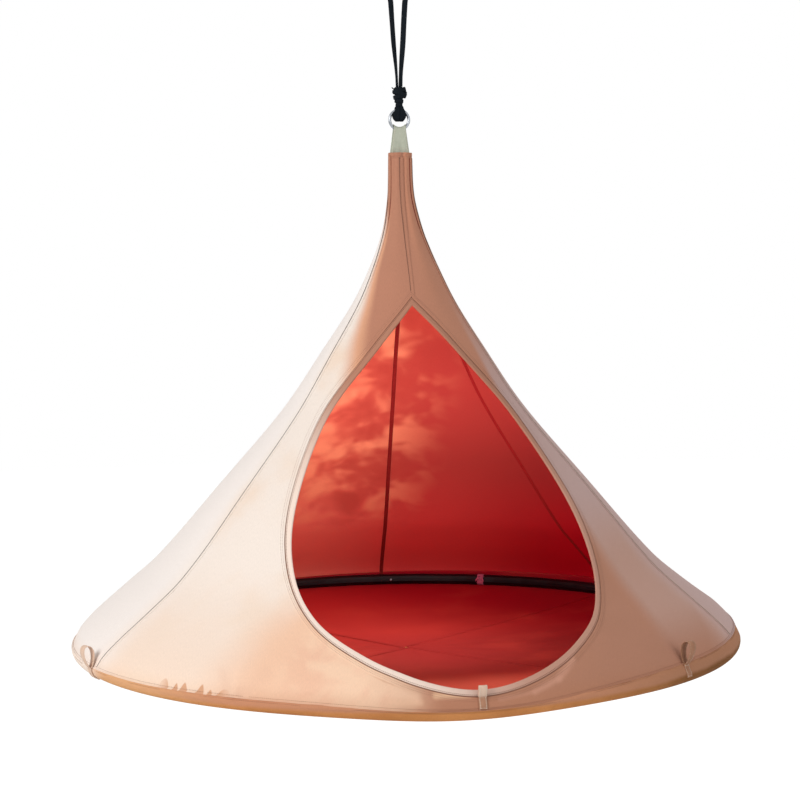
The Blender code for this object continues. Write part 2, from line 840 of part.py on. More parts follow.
def floor_column(psi, out, shift):
    """One line of the floor panel, from the base seam round the tube to the centre."""
    top = seam_height(psi) - GAP / 2
    points = [skin(psi, top, 0.0 if out else -CLOTH, shift)]
    top_turn = math.degrees(math.asin(min(top / WRAP_OUT, math.sin(WRAP_TANGENT))))
    first = min(-15.0, top_turn - 5.0)
    turns = [top_turn + (first - top_turn) * t for t in (1 / 3, 2 / 3, 1)] + [-45.0, -75.0]
    radius = WRAP_OUT if out else WRAP_IN
    droop = front_droop(psi)
    for turn, share in zip(turns, (0, 0, 0, 0.35, 1)):
        r, h = wrap_point(math.radians(turn), radius)
        points.append(polar(psi, r, h - droop * share, shift))
    drop = CLOTH if out else 0.0
    for place, share in zip(FLOOR_RADII, (0.85, 0.3, 0.06, 0, 0, 0)):
        r = place * RING_R
        points.append(polar(psi, r, floor_height(r) - drop - droop * share, shift))
    return points


def build_floor():
    for i, start in enumerate(FLOOR_SEAMS):
        angles = grid_angles(start, FLOOR_SEAMS[(i + 1) % len(FLOOR_SEAMS)])
        count = len(angles)
        shifts = [edge_shift(j, count) for j in range(count)]
        outer = [floor_column(psi, True, shift) for psi, shift in zip(angles, shifts)]
        inner = [floor_column(psi, False, shift) for psi, shift in zip(angles, shifts)]
        add_object(f"floor_panel_{i + 1}", *sheet(outer, inner), "floor_cloth", smooth=50)


# Tube ring, snap buttons and their springs


def ring_corner(psi):
    return polar(psi, RING_R, 0)


def tube_section(centre, out, radius):
    """A section of the tube: out is the direction away from the tent's middle."""
    points = []
    for i in range(TUBE_SIDES):
        t = math.tau * (i + 0.5) / TUBE_SIDES
        points.append(centre + radius * (out * math.cos(t) + Vector((0, 0, math.sin(t)))))
    return points


def joint_frame(psi):
    """The joint's corner, the way its plug points, and the outward direction there."""
    corner = ring_corner(psi)
    along = (ring_corner(psi - STEP) - corner).normalized()
    out = along.cross(Vector((0, 0, 1)))
    if out.dot(corner - Vector((0, 0, TUBE_Z))) < 0:
        out = -out
    return corner, along, out


def radial(psi):
    turn = math.radians(psi)
    return Vector((math.sin(turn), -math.cos(turn), 0))


def build_tubes():
    count = len(TUBE_JOINTS)
    bore = TUBE_R - TUBE_WALL
    plug_out = bore - PLUG_FIT
    plug_in = plug_out - TUBE_WALL
    for i, start in enumerate(TUBE_JOINTS):
        end = TUBE_JOINTS[(i + 1) % count]
        angles = grid_angles(start, end)
        corner, along, out = joint_frame(start)
        shoulder = corner - along * GAP / 2
        back = shoulder - along * 0.008
        tip = corner + along * PLUG_LENGTH
        turn_in = joint_frame(end)[1]
        outer = [
            tube_section(tip, out, plug_out),
            tube_section(shoulder, radial(start), plug_out),
            tube_section(shoulder, radial(start), TUBE_R),
        ]
        inner = [
            tube_section(tip, out, plug_in),
            tube_section(shoulder - along * 0.002, radial(start), plug_in),
            tube_section(back, radial(start), bore),
        ]
        for psi in angles[1:-1]:
            outer.append(tube_section(ring_corner(psi), radial(psi), TUBE_R))
            inner.append(tube_section(ring_corner(psi), radial(psi), bore))
        mouth = ring_corner(end) + turn_in * GAP / 2
        outer.append(tube_section(mouth, radial(end), TUBE_R))
        inner.append(tube_section(mouth, radial(end), bore))
        verts, faces = tube_faces(outer, inner)
        tube = add_object(f"ring_tube_{i + 1}", verts, faces, "tube")
        cut(tube, button_cutter(f"button_hole_{i + 1}a", start))
        cut(tube, button_cutter(f"button_hole_{i + 1}b", end))


def tube_faces(outer, inner):
    """A hollow tube with open ends, whose outer and inner skins may have other section counts."""
    sides = TUBE_SIDES
    verts = [p for row in outer for p in row] + [p for row in inner for p in row]
    base = len(outer) * sides
    faces = []
    for rows, offset, flip in ((outer, 0, False), (inner, base, True)):
        for i in range(len(rows) - 1):
            for j in range(sides):
                k = (j + 1) % sides
                a, b = offset + i * sides, offset + (i + 1) * sides
                face = (a + j, a + k, b + k, b + j)
                faces.append(face[::-1] if flip else face)
    last_out = (len(outer) - 1) * sides
    last_in = base + (len(inner) - 1) * sides
    for j in range(sides):
        k = (j + 1) % sides
        faces.append((j, base + j, base + k, k))
        faces.append((last_out + j, last_out + k, last_in + k, last_in + j))
    return verts, faces


def button_cutter(name, psi):
    corner, along, out = joint_frame(psi)
    centre = corner + along * BUTTON_TO_JOINT
    start, end = centre - out * 0.006, centre - out * (TUBE_R + 0.004)
    return cutter(name, *cylinder(start, end, BUTTON_R + GAP, 12, twist=0))


def build_buttons():
    flat = TUBE_R * math.cos(math.pi / TUBE_SIDES)
    plug_in = TUBE_R - 2 * TUBE_WALL - PLUG_FIT
    for i, psi in enumerate(TUBE_JOINTS):
        corner, along, out = joint_frame(psi)
        centre = corner + along * BUTTON_TO_JOINT
        up = Vector((0, 0, 1))
        seat = plug_in * math.cos(math.pi / TUBE_SIDES) - 0.0012
        crown = flat + BUTTON_PROUD
        shape = (
            (seat - BUTTON_FLANGE_THICK, BUTTON_FLANGE_R),
            (seat, BUTTON_FLANGE_R),
            (seat, BUTTON_R),
            (crown - 0.0014, BUTTON_R),
            (crown - 0.0004, BUTTON_R * 0.8),
            (crown, BUTTON_R * 0.45),
        )
        sections = []
        for depth, radius in shape:
            turns = [math.tau * k / 12 for k in range(12)]
            middle = centre - out * depth
            sections.append([middle + radius * (along * math.cos(t) + up * math.sin(t)) for t in turns])
        add_object(f"snap_button_{i + 1}", *loft(sections), "button", centre - out * seat)

        far = plug_in * math.cos(math.pi / TUBE_SIDES) - GAP - SPRING_THICK / 2
        pressed = seat - BUTTON_FLANGE_THICK - BUTTON_TRAVEL - GAP - SPRING_THICK / 2
        near_end = BUTTON_TO_JOINT + 0.004
        far_end = near_end - SPRING_LENGTH
        route = (
            (near_end, far),
            (far_end + 0.005, far),
            (far_end + 0.001, far - 0.0012),
            (far_end, far - 0.004),
            (far_end + 0.001, far - 0.0065),
            (far_end + 0.005, far - 0.0085),
            (near_end, -pressed),
        )
        path = [corner + along * s + out * n for s, n in route]
        sections = band(path, [SPRING_WIDTH] * len(path), SPRING_THICK, across=(0, 0, 1))
        add_object(f"button_spring_{i + 1}", *loft(sections), "button")


# Tape ties that hold the tube


def build_ties():
    for name, psi in LOOP_PLACES.items():
        out = radial(psi)
        centre = polar(psi, RING_R * FACET_SHARE, 0)
        across = Vector((math.cos(math.radians(psi)), math.sin(math.radians(psi)), 0))
        inside = TUBE_R + GAP
        sections = []
        for turn in range(75, 241, 15):
            t = math.radians(turn)
            ray = out * math.cos(t) + Vector((0, 0, math.sin(t)))
            a = centre + ray * inside
            b = centre + ray * (inside + TIE_THICK)
            w = across * TIE_WIDTH / 2
            sections.append([a - w, a + w, b + w, b - w])
        add_object(f"ring_tie_{name}", *loft(sections), "pink_tape")


# Tape loops on the rim and at the doorway, and the tabs that they are sewn on by


def cloth_lean(h):
    """How much longer a level cut through the cloth is than its thickness."""
    slope = (cloth_radius(h + 0.002) - cloth_radius(h - 0.002)) / 0.004
    return math.hypot(1, slope)


def build_tab(name, psi, top, length, width):
    """A sewn tail of doubled tape, down the cloth from a height; its top bends out to the loop."""
    across = Vector((math.cos(math.radians(psi)), math.sin(math.radians(psi)), 0)) * width / 2
    steps = 6
    sections = []
    for k in range(steps + 1):
        h = top - length * k / steps
        surface = cloth_radius(h) * facet_share(psi)
        flare = LOOP_LEAN_START * (1 - k / steps) ** 4
        near = polar(psi, surface + flare + TAB_GAP * cloth_lean(h), h)
        far = polar(psi, surface + flare + (TAB_GAP + 2 * LOOP_TAPE_THICK) * cloth_lean(h), h)
        sections.append([near - across, near + across, far + across, far - across])
    add_object(name, *loft(sections), "loop_tape")


def facet_share(psi):
    """A place between two columns of the grid is a little nearer the middle than one on a column."""
    return 1.0 if psi % STEP == 0 else FACET_SHARE


def build_loop(name, psi, tab_top, height, bulge, width):
    """A teardrop of tape that stands on its tab; its origin is on the line where it flops."""
    out = radial(psi)
    across = Vector((math.cos(math.radians(psi)), math.sin(math.radians(psi)), 0))
    middle = (TAB_GAP + LOOP_TAPE_THICK) * cloth_lean(tab_top)
    radius = cloth_radius(tab_top) * facet_share(psi) + middle + LOOP_LEAN_START
    root = polar(psi, radius, tab_top + GAP + LOOP_TAPE_THICK / 2)

    def centre(t):
        up = height * (1 - math.cos(t)) / 2
        wide = bulge / 2 * math.sin(t) * (0.45 + 0.55 * (1 - math.cos(t)) / 2)
        return root + Vector((0, 0, up)) + out * (wide + LOOP_LEAN * up)

    count = 18
    outer, inner = [], []
    for k in range(count):
        t = math.tau * k / count
        along = (centre(t + 0.01) - centre(t - 0.01)).normalized()
        normal = across.cross(along)
        outer.append(centre(t) + normal * LOOP_TAPE_THICK / 2)
        inner.append(centre(t) - normal * LOOP_TAPE_THICK / 2)
    w = across * width / 2
    sections = [[a - w, a + w, b + w, b - w] for a, b in zip(outer, inner)]
    add_object(name, *loft(sections, closed=True), "loop_tape", root)


def build_loops():
    for name, psi in LOOP_PLACES.items():
        top = seam_height(psi) - PIPING_R - 2 * GAP
        build_tab(f"loop_tab_{name}", psi, top, TAB_LENGTH, LOOP_TAPE_WIDTH)
        build_loop(f"rim_loop_{name}", psi, top, LOOP_HEIGHT, LOOP_BULGE, LOOP_TAPE_WIDTH)
    top = DOOR_OUTLINE[-1][1] - BINDING_WIDTH - 2 * GAP
    build_tab("loop_tab_door", 0, top, DOOR_TAB_LENGTH, DOOR_LOOP_WIDTH)
    build_loop("door_loop", 0, top, DOOR_LOOP_HEIGHT, DOOR_LOOP_BULGE, DOOR_LOOP_WIDTH)


def build():
    clear_scene()
    build_bracket()
    build_bolt()
    build_strap()
    build_steel_ring()
    build_collar()
    build_hem()
    build_canopy()
    build_binding()
    build_webbings()
    build_piping()
    build_floor()
    build_tubes()
    build_buttons()
    build_ties()
    build_loops()


build()
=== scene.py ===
"""The looks of the hanging tent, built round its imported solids. Metres, +Z up, as in the part's source.

psi is an angle round the tent, in degrees from the doorway's middle, -Y, towards +X.
h is a height above the plane of the tube ring.
"""

import math

import bmesh
import bpy
import numpy as np
from mathutils import Matrix, Vector


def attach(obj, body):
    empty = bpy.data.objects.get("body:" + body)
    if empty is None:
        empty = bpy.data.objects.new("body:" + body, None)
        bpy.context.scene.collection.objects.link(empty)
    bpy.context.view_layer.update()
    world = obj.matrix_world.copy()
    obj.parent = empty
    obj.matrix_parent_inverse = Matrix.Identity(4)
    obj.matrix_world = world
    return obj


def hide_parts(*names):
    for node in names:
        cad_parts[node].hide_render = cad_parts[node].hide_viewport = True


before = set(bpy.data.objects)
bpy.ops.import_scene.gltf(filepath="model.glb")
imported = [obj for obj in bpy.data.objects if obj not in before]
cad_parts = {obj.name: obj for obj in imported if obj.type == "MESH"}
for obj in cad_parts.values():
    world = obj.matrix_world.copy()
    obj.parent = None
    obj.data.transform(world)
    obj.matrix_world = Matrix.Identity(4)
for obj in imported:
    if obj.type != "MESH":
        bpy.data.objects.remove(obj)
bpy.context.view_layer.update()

# Sizes that the part's source also holds
GAP = 0.0003
OUTER_R = 0.900
CLOTH = 0.0016
TUBE_R = 0.016
TUBE_GAP = 0.0008
WRAP_IN = TUBE_R + TUBE_GAP
WRAP_OUT = WRAP_IN + CLOTH
RING_R = OUTER_R - WRAP_OUT
NECK_R = 0.031
NECK_DEPTH_SHARE = 0.77
NECK_TOP = 1.303
HEM_HEIGHT = 0.009
HEM_BOTTOM = NECK_TOP - HEM_HEIGHT
PANEL_SEAMS = (0, 60, 126, 174, 240, 294)
PANEL_HOLLOWS = (0.006, 0.020, 0.006, 0.006, 0.008, 0.006)
SIDE_BEND = 0.007
BEND_HEIGHT = 0.97
BEND_SPREAD = 0.20
# Height and radius of the cloth
PROFILE = (
    (0.040, 0.880), (0.080, 0.841), (0.140, 0.771), (0.220, 0.679), (0.420, 0.504), (0.620, 0.331),
    (0.780, 0.2205), (0.900, 0.1424), (1.000, 0.0925), (1.080, 0.0600), (1.140, 0.0435), (1.200, 0.0340),
    (NECK_TOP, NECK_R),
)
SEAM_HEIGHT = 0.022
SEAM_LIFT = 0.014
SEAM_DIP = 0.027
SEAM_DIP_SPREAD = 20.0
# Half of the doorway's outline, as (x, h)
DOOR_OUTLINE = (
    (0.000, 0.896), (0.103, 0.780), (0.243, 0.610), (0.345, 0.410), (0.373, 0.270), (0.342, 0.172),
    (0.249, 0.105), (0.122, 0.057), (0.000, 0.038),
)
BINDING_WIDTH = 0.013
FLOOR_SAG = 0.025
DROOP = 0.012
DROOP_PLACE = -3.0
DROOP_SPREAD = 16.0
FLOOR_SEAMS = (36, 126, 216, 306)
LOOP_PLACES = {"right": 38.3, "back": 153, "left": 288}
LOOP_TAPE_WIDTH = 0.022
LOOP_TAPE_THICK = 0.0014
LOOP_HEIGHT = 0.056
LOOP_BULGE = 0.034
LOOP_LEAN = 0.14
LOOP_LEAN_START = 0.0032
TAB_GAP = 0.0006
PIPING_R = 0.0012
DOOR_LOOP_WIDTH = 0.020
DOOR_LOOP_HEIGHT = 0.026
DOOR_LOOP_BULGE = 0.012
TAB_LENGTH = 0.030
DOOR_TAB_LENGTH = 0.026
PIN_Z = -0.035
PIN_R = 0.005
STRAP_WIDTH = 0.015
STRAP_THICK = 0.004
STRAND_SPREAD = 0.048
STRAND_MEET = 0.0155
STRAND_LENGTH = 0.295
EYE_TAIL = 0.045
KNOT_HEIGHT = 0.052
KNOT_TO_RING = 0.0055
STEEL_RING_R = 0.026
STEEL_BAR_R = 0.004
BIGHT_REACH = 0.0148
BIGHT_BUNCH = 0.014
COLLAR_THICK = 0.0025
COLLAR_TOP_WIDTH = 0.032
COLLAR_NECK_WIDTH = 0.052
COLLAR_LEG_Y = 0.0078
COLLAR_OUT_Y = COLLAR_LEG_Y + COLLAR_THICK
COLLAR_TO_NECK = 0.0625

KNOT_TOP_Z = PIN_Z - STRAND_LENGTH
KNOT_BOTTOM_Z = KNOT_TOP_Z - KNOT_HEIGHT
RING_CENTRE_Z = KNOT_BOTTOM_Z - KNOT_TO_RING - STEEL_BAR_R - STEEL_RING_R
COLLAR_AXIS_Z = RING_CENTRE_Z - STEEL_RING_R
TUBE_Z = COLLAR_AXIS_Z - COLLAR_TO_NECK - NECK_TOP

# The photograph's camera: distance, direction and lens, and where the tube ring's middle falls
IMAGE = 800
CAMERA_DISTANCE = 5.0
CAMERA_AZIMUTH = -11.0
CAMERA_ELEVATION = 11.2
CAMERA_ROLL = 0.75
FOCAL_PIXELS = 1812.0
RING_PIXEL = (406.0, 632.3)

# Place, target, size, power and colour of each lamp. The last two are inside the tent
LAMPS = {
    "key": ((-3.9, -2.6, 0.5), (0, 0, -1.4), 2.4, 124.0, (1.0, 0.97, 0.93)),
    "fill": ((2.6, -3.6, -0.6), (0, 0, -1.4), 3.0, 36.0, (1, 1, 1)),
    "back": ((1.5, 3.6, 0.6), (0, 0, -1.3), 2.4, 30.0, (1, 1, 1)),
    "inside_wall": ((0, -0.25, TUBE_Z + 0.45), (0, 0.8, TUBE_Z + 0.14), 0.36, 4.7, (1, 1, 1)),
    "inside_floor": ((0, 0.02, TUBE_Z + 0.46), (0, 0.34, TUBE_Z), 0.24, 0.36, (1, 1, 1)),
}
WORLD_LIGHT = 0.50
FLOOR_DROP = 0.95
FLOOR_RADIUS = 14
FLOOR_GLOW = 0.84


# Shader nodes


def srgb(*channels):
    """A colour as linear light, from its 0 to 255 values on screen."""
    shares = [value / 255 for value in channels]
    return (*[s / 12.92 if s <= 0.04045 else ((s + 0.055) / 1.055) ** 2.4 for s in shares], 1)


def grey(value):
    return (value, value, value, 1)


class Value:
    """An output of a node. Sums, products and steps of such values add nodes to the same tree."""

    def __init__(self, tree, socket):
        self.tree, self.socket = tree, socket

    def math(self, operation, other=None):
        return add_node(self.tree, "ShaderNodeMath", self, other, operation=operation)

    def __add__(self, other):
        return self.math("ADD", other)

    def __sub__(self, other):
        return self.math("SUBTRACT", other)

    def __mul__(self, other):
        return self.math("MULTIPLY", other)

    def sine(self):
        return self.math("SINE")

    def step(self, low, high):
        """0 at low, 1 at high, and a soft step between."""
        return add_node(self.tree, "ShaderNodeMapRange", self, low, high, interpolation_type="SMOOTHSTEP")

    def vector(self, operation, *others, out=0):
        return add_node(self.tree, "ShaderNodeVectorMath", self, *others, out=out, operation=operation)


def add_node(tree, kind, *values, out=0, sockets=None, **settings):
    """A new node's output as a Value. The values go to its sockets in order, and None leaves one as it is.

    A colour of three numbers is given by its 0 to 255 values on screen, one of four as linear light.
    """
    made = tree.nodes.new(kind)
    for name, value in settings.items():
        setattr(made, name, value)
    named = [(made.inputs[name], value) for name, value in (sockets or {}).items()]
    for socket, value in list(zip(made.inputs, values)) + named:
        if isinstance(value, Value):
            tree.links.new(value.socket, socket)
        elif value is not None:
            is_screen_colour = socket.type == "RGBA" and len(value) == 3
            socket.default_value = srgb(*value) if is_screen_colour else value
    return Value(tree, made.outputs[out])


# Camera and studio


def add_object(name, data):
    made = bpy.data.objects.new(name, data)
    bpy.context.scene.collection.objects.link(made)
    return made


def make_camera():
    def turned(vector, axis, angle):
        return Matrix.Rotation(angle, 3, axis) @ vector

    azimuth, elevation = math.radians(CAMERA_AZIMUTH), math.radians(CAMERA_ELEVATION)
    level = math.cos(elevation)
    back = Vector((math.sin(azimuth) * level, -math.cos(azimuth) * level, math.sin(elevation)))
    right = (-back).cross(Vector((0, 0, 1))).normalized()
    up = right.cross(-back)
    roll = math.radians(CAMERA_ROLL)
    dx, dy = RING_PIXEL[0] - IMAGE / 2, IMAGE / 2 - RING_PIXEL[1]
    across = dx * math.cos(roll) + dy * math.sin(roll)
    rise = dy * math.cos(roll) - dx * math.sin(roll)
    pan = math.atan2(across, FOCAL_PIXELS)
    tilt = math.atan2(rise, math.hypot(FOCAL_PIXELS, across))
    forward, right = turned(-back, up, pan), turned(right, up, pan)
    forward, up = turned(forward, right, -tilt), turned(up, right, -tilt)
    side = right * math.cos(roll) - up * math.sin(roll)
    top = up * math.cos(roll) + right * math.sin(roll)
    data = bpy.data.cameras.new("camera")
    data.sensor_width = 36.0
    data.lens = FOCAL_PIXELS * data.sensor_width / IMAGE
    camera = add_object("camera", data)
    rotation = Matrix((side, top, -forward)).transposed()
    place = Vector((0, 0, TUBE_Z)) + back * CAMERA_DISTANCE
    camera.matrix_world = Matrix.Translation(place) @ rotation.to_4x4()
    bpy.context.scene.camera = camera


def add_lamp(name, place, target, size, power, colour):
    data = bpy.data.lights.new(name, "AREA")
    data.shape, data.size, data.energy, data.color = "DISK", size, power, colour
    lamp = add_object(name, data)
    lamp.location = place
    lamp.rotation_euler = (Vector(target) - Vector(place)).to_track_quat("-Z", "Y").to_euler()
    lamp.visible_camera = False


def light_and_show(tree, lighting, shown, output):
    """The first shader lights the scene. Rays that show the background, straight or not, get the second."""
    most = add_node(tree, "ShaderNodeLightPath", out="Is Camera Ray")
    path = most.socket.node
    for other in ("Is Glossy Ray", "Is Transmission Ray"):
        most = add_node(tree, "ShaderNodeMath", most, Value(tree, path.outputs[other]), operation="MAXIMUM")
    mix = add_node(tree, "ShaderNodeMixShader", most, lighting, shown)
    tree.links.new(mix.socket, tree.nodes.new(output).inputs["Surface"])


def make_studio():
    world = bpy.data.worlds.new("studio")
    bpy.context.scene.world = world
    world.use_nodes = True
    tree = world.node_tree
    tree.nodes.clear()
    white = (1, 1, 1, 1)
    lighting = add_node(tree, "ShaderNodeBackground", white, WORLD_LIGHT)
    shown = add_node(tree, "ShaderNodeBackground", white)
    light_and_show(tree, lighting, shown, "ShaderNodeOutputWorld")
    for name, how in LAMPS.items():
        add_lamp(name, *how)
    make_floor()
    bpy.context.scene.view_settings.view_transform = "Standard"


def make_floor():
    work = bmesh.new()
    bmesh.ops.create_circle(work, cap_ends=True, segments=96, radius=FLOOR_RADIUS)
    mesh = bpy.data.meshes.new("floor")
    work.to_mesh(mesh)
    work.free()
    floor = add_object("floor", mesh)
    floor.location = (0, 0, TUBE_Z - FLOOR_DROP)
    material = bpy.data.materials.new("floor")
    material.use_nodes = True
    tree = material.node_tree
    tree.nodes.clear()
    plain = add_node(tree, "ShaderNodeBsdfDiffuse", (0.8, 0.8, 0.8, 1))
    faint = add_node(tree, "ShaderNodeBsdfDiffuse", (0.36, 0.36, 0.36, 1))
    glow = add_node(tree, "ShaderNodeEmission", None, FLOOR_GLOW)
    shown = add_node(tree, "ShaderNodeAddShader", faint, glow)
    light_and_show(tree, plain, shown, "ShaderNodeOutputMaterial")
    mesh.materials.append(material)


# Materials

# Pitch of the cloth's threads, and of the slanted ribs of each tape, webbing and thread, both ways
THREAD_PITCH = 0.0011
RIB = (0.0016, 0.0011)
WEBBING_RIB = (0.0024, 0.0016)
COLLAR_RIB = (0.0022, 0.0015)
STRAP_RIB = (0.0022, 0.0014)
YARN_RIB = (0.0006, 0.0006)
# Painted light and shade on the cloth: start and end as (x, h), half width, strength and colour
PAINTED_LIGHT_MARKS = (
    ((0.235, 0.080), (0.190, 0.048), 0.014, 0.8, (212, 156, 132)),
    ((0.190, 0.048), (0.125, 0.026), 0.012, 0.7, (212, 156, 132)),
    ((0.125, 0.026), (0.040, 0.016), 0.008, 0.5, (206, 150, 126)),
    ((-0.105, 0.030), (-0.030, 0.031), 0.013, 0.7, (246, 202, 166)),
    ((-0.240, 0.052), (-0.150, 0.026), 0.020, 0.5, (246, 204, 174)),
    ((-0.205, 0.020), (-0.140, 0.016), 0.012, 0.4, (242, 196, 164)),
    ((-0.560, 0.024), (-0.562, 0.058), 0.018, 0.25, (236, 196, 172)),
    ((-0.530, 0.020), (-0.466, 0.070), 0.022, 0.25, (236, 192, 166)),
)


class Paint:
    """A procedural material, built round its Principled shader. Weaves read the UV map, in metres."""

    def __init__(self, name, roughness=0.8, metallic=0.0, sheen=0.0, shine=0.25):
        self.material = bpy.data.materials.new(name)
        self.material.use_nodes = True
        self.tree = self.material.node_tree
        self.inputs = self.tree.nodes["Principled BSDF"].inputs
        for socket, value in (("Roughness", roughness), ("Metallic", metallic), ("Sheen Weight", sheen)):
            self.inputs[socket].default_value = value
        if metallic == 0:
            self.inputs["Specular IOR Level"].default_value = shine
        self.last_bump = None
        self.place = self.node("ShaderNodeTexCoord", out="Object")
        self.uv = self.node("ShaderNodeUVMap", out="UV")

    def node(self, kind, *values, **how):
        return add_node(self.tree, kind, *values, **how)

    def mix(self, share, a, b, blend="MIX"):
        sockets = (share, *[None] * 5, a, b)
        return self.node("ShaderNodeMix", *sockets, out=2, data_type="RGBA", blend_type=blend)

    def over(self, colour, *layers):
        """Lays colours over one, each as far as its share."""
        for share, shade in layers:
            colour = self.mix(share, colour, shade)
        return colour

    def part(self, axis, vector=None):
        return self.node("ShaderNodeSeparateXYZ", vector or self.place, out="XYZ".index(axis))

    def height(self):
        """Height above the tube's plane."""
        return self.part("Z") - TUBE_Z

    def angle(self):
        """psi, in degrees from -180 to 180."""
        return self.part("X").math("ARCTAN2", self.part("Y") * -1.0).math("DEGREES")

    def streak(self, start, end, width):
        """1 along a line between two places of the front cloth, given as (x, h), and 0 beyond its width."""
        flat = self.node("ShaderNodeCombineXYZ", self.part("X"), self.height(), 0.0)
        way = (end[0] - start[0], end[1] - start[1], 0.0)
        share = tuple(w / (way[0] ** 2 + way[1] ** 2) for w in way)
        from_start = flat.vector("SUBTRACT", (*start, 0.0))
        along = from_start.vector("DOT_PRODUCT", share, out="Value")
        along = along.math("MAXIMUM", 0.0).math("MINIMUM", 1.0)
        reached = self.node("ShaderNodeVectorMath", way, sockets={"Scale": along}, operation="SCALE")
        off = from_start.vector("DISTANCE", reached, out="Value")
        return off.step(width, 0.0) * self.part("Y").math("LESS_THAN", 0.0)

    def noise(self, scale, detail=2.0, roughness=0.5, stretch=(1, 1, 1), source=None, twist=0.0):
        spread = self.node("ShaderNodeMapping", source or self.place, sockets={"Scale": stretch})
        how = {"Scale": scale, "Detail": detail, "Roughness": roughness, "Distortion": twist}
        return self.node("ShaderNodeTexNoise", spread, out="Fac", sockets=how)

    def plain_weave(self, pitch):
        """Threads over and under each other, 0 to 1."""
        u, v = ((self.part(axis, self.uv) * (math.tau / pitch)).sine() for axis in "XY")
        return u * v * 0.5 + 0.5

    def twill(self, pitch, rib):
        """Slanted ribs, as on webbing and tape, 0 to 1."""
        slant = self.part("X", self.uv) * (math.tau / rib) + self.part("Y", self.uv) * (math.tau / pitch)
        return slant.sine() * 0.5 + 0.5

    def bump(self, height, distance, strength):
        how = {"Strength": strength, "Distance": distance, "Height": height, "Normal": self.last_bump}
        self.last_bump = self.node("ShaderNodeBump", sockets=how)
        self.tree.links.new(self.last_bump.socket, self.inputs["Normal"])

    def roughness(self, share, low, high):
        spread = self.node("ShaderNodeMapRange", share, sockets={"To Min": low, "To Max": high})
        self.tree.links.new(spread.socket, self.inputs["Roughness"])

    def colour(self, value):
        self.tree.links.new(value.socket, self.inputs["Base Color"])

    def speckle(self, colour, weave, contrast=0.10, fleck=0.06):
        """Sets the colour, darker in the gaps of a weave, with single threads that differ a little."""
        slub = self.noise(900, 1.0, stretch=(1, 0.12, 1), source=self.uv).step(0.35, 0.65)
        for share, dark in ((weave, contrast), (slub, fleck)):
            colour = self.mix(1.0, colour, self.mix(share, grey(1 - dark), grey(1)), "MULTIPLY")
        self.colour(colour)

    def weave(self, colour, slack, depth, strength, specks=(), pitch=THREAD_PITCH, thread=(0.00012, 0.5)):
        """Finishes a cloth: its specks, its slack, with that slack's depth and strength, and its threads."""
        weave = self.plain_weave(pitch)
        self.speckle(colour, weave, *specks)
        self.bump(slack, depth, strength)
        self.bump(weave, *thread)
        return self.material


def make_canvas():
    """The outside: dusty terracotta, with painted sunlight that makes it almost white on the side that faces
    the key lamp.
    """
    paint = Paint("canvas", 0.82, sheen=0.1, shine=0.15)
    psi, height, patches = paint.angle(), paint.height(), paint.noise(2.6, 3.0)
    uneven = (patches - 0.5) * 22.0
    tan = paint.over(
        (184, 130, 104),
        (height.step(0.05, 1.0), (194, 135, 110)),
        (patches.step(0.35, 0.75), (189, 134, 109)),
        (psi.step(4.0, 30.0) * height.step(0.6, 0.8), (204, 142, 114)),
    )
    # Painted shade: the far right panel is a little cooler, above a soft edge that runs down from the
    # doorway
    far = psi.step(48.0, 60.0) * height.step(0.0, 0.03)
    cool_shade = (psi + height * -16.0).step(34.0, 40.0) * height.step(0.04, 0.15).math("MAXIMUM", far)
    cool_shade = cool_shade * height.step(0.95, 0.62) * psi.step(160.0, 110.0)
    pink = height.step(0.24, 0.42).math("MAXIMUM", psi.step(52.0, 64.0))
    colour = paint.mix(cool_shade, tan, paint.mix(pink, (201, 157, 140), (205, 172, 165)))
    # Painted sunlight: a peach patch between the doorway and the base, with dapples of painted light
    peach = (psi + uneven).step(-3.0, -17.0) * height.step(0.26, 0.15) * psi.step(-170.0, -140.0)
    dapples = paint.noise(9, 2.0, twist=0.8).step(0.4, 0.65)
    colour = paint.mix(peach, colour, paint.mix(dapples, (248, 199, 170), (255, 216, 186)))
    # Painted sunlight on the side that faces the key lamp, with a warm edge
    edge = psi + height.step(0.56, 1.04) * 26.0 + uneven * 0.5
    edge = edge + height.step(0.48, 0.32) * height.step(0.12, 0.24) * -7.0
    left = height.step(1.17, 1.04) * psi.step(-168.0, -135.0)
    warm = paint.mix(height.step(0.46, 0.24), (232, 172, 138), (250, 206, 176))
    pale = paint.over(
        (251, 226, 207),
        (height.step(0.0, 0.30), (252, 239, 229)),
        (paint.noise(5, 3.0).step(0.45, 0.75), (250, 227, 208)),
        (psi.step(-62.0, -74.0), (255, 246, 241)),
    )
    painted_sunlight = edge.step(-31.0, -46.0) * left
    colour = paint.over(colour, (edge.step(-22.0, -34.0) * left, warm), (painted_sunlight, pale))
    # A darker line along the base seam, paler where the sunlight is painted
    seam = paint.mix(painted_sunlight, (186, 126, 92), (244, 204, 170))
    colour = paint.mix(height.step(0.05, 0.0) * 0.35, colour, seam)
    # Painted shade in the valleys between the base seam's small tucks. The wave is the one in teeth()
    turn = psi * (math.pi / 180)
    wave = (turn * 150.0 + (turn * 61.0 + 1.0).sine() * 1.3).sine() + (turn * 97.0).sine() * -0.45
    valley_shade = (wave + (height - 0.017) * 100.0).step(0.25, -0.20)
    valley_shade = valley_shade * psi.step(-53.0, -49.0) * psi.step(-37.0, -41.0)
    colour = paint.mix(valley_shade * 0.75, colour, (214, 150, 106))
    # Light and shade along the folds near the doorway's lower edge and left of it
    for start, end, width, strength, shade in PAINTED_LIGHT_MARKS:
        colour = paint.mix(paint.streak(start, end, width) * strength, colour, shade)
    paint.roughness(paint.noise(30, 2.0), 0.74, 0.9)
    slack = paint.noise(14, 3.0, stretch=(1, 1, 0.5))
    return paint.weave(colour, slack, 0.0012, 0.5, thread=(0.00012, 0.6))


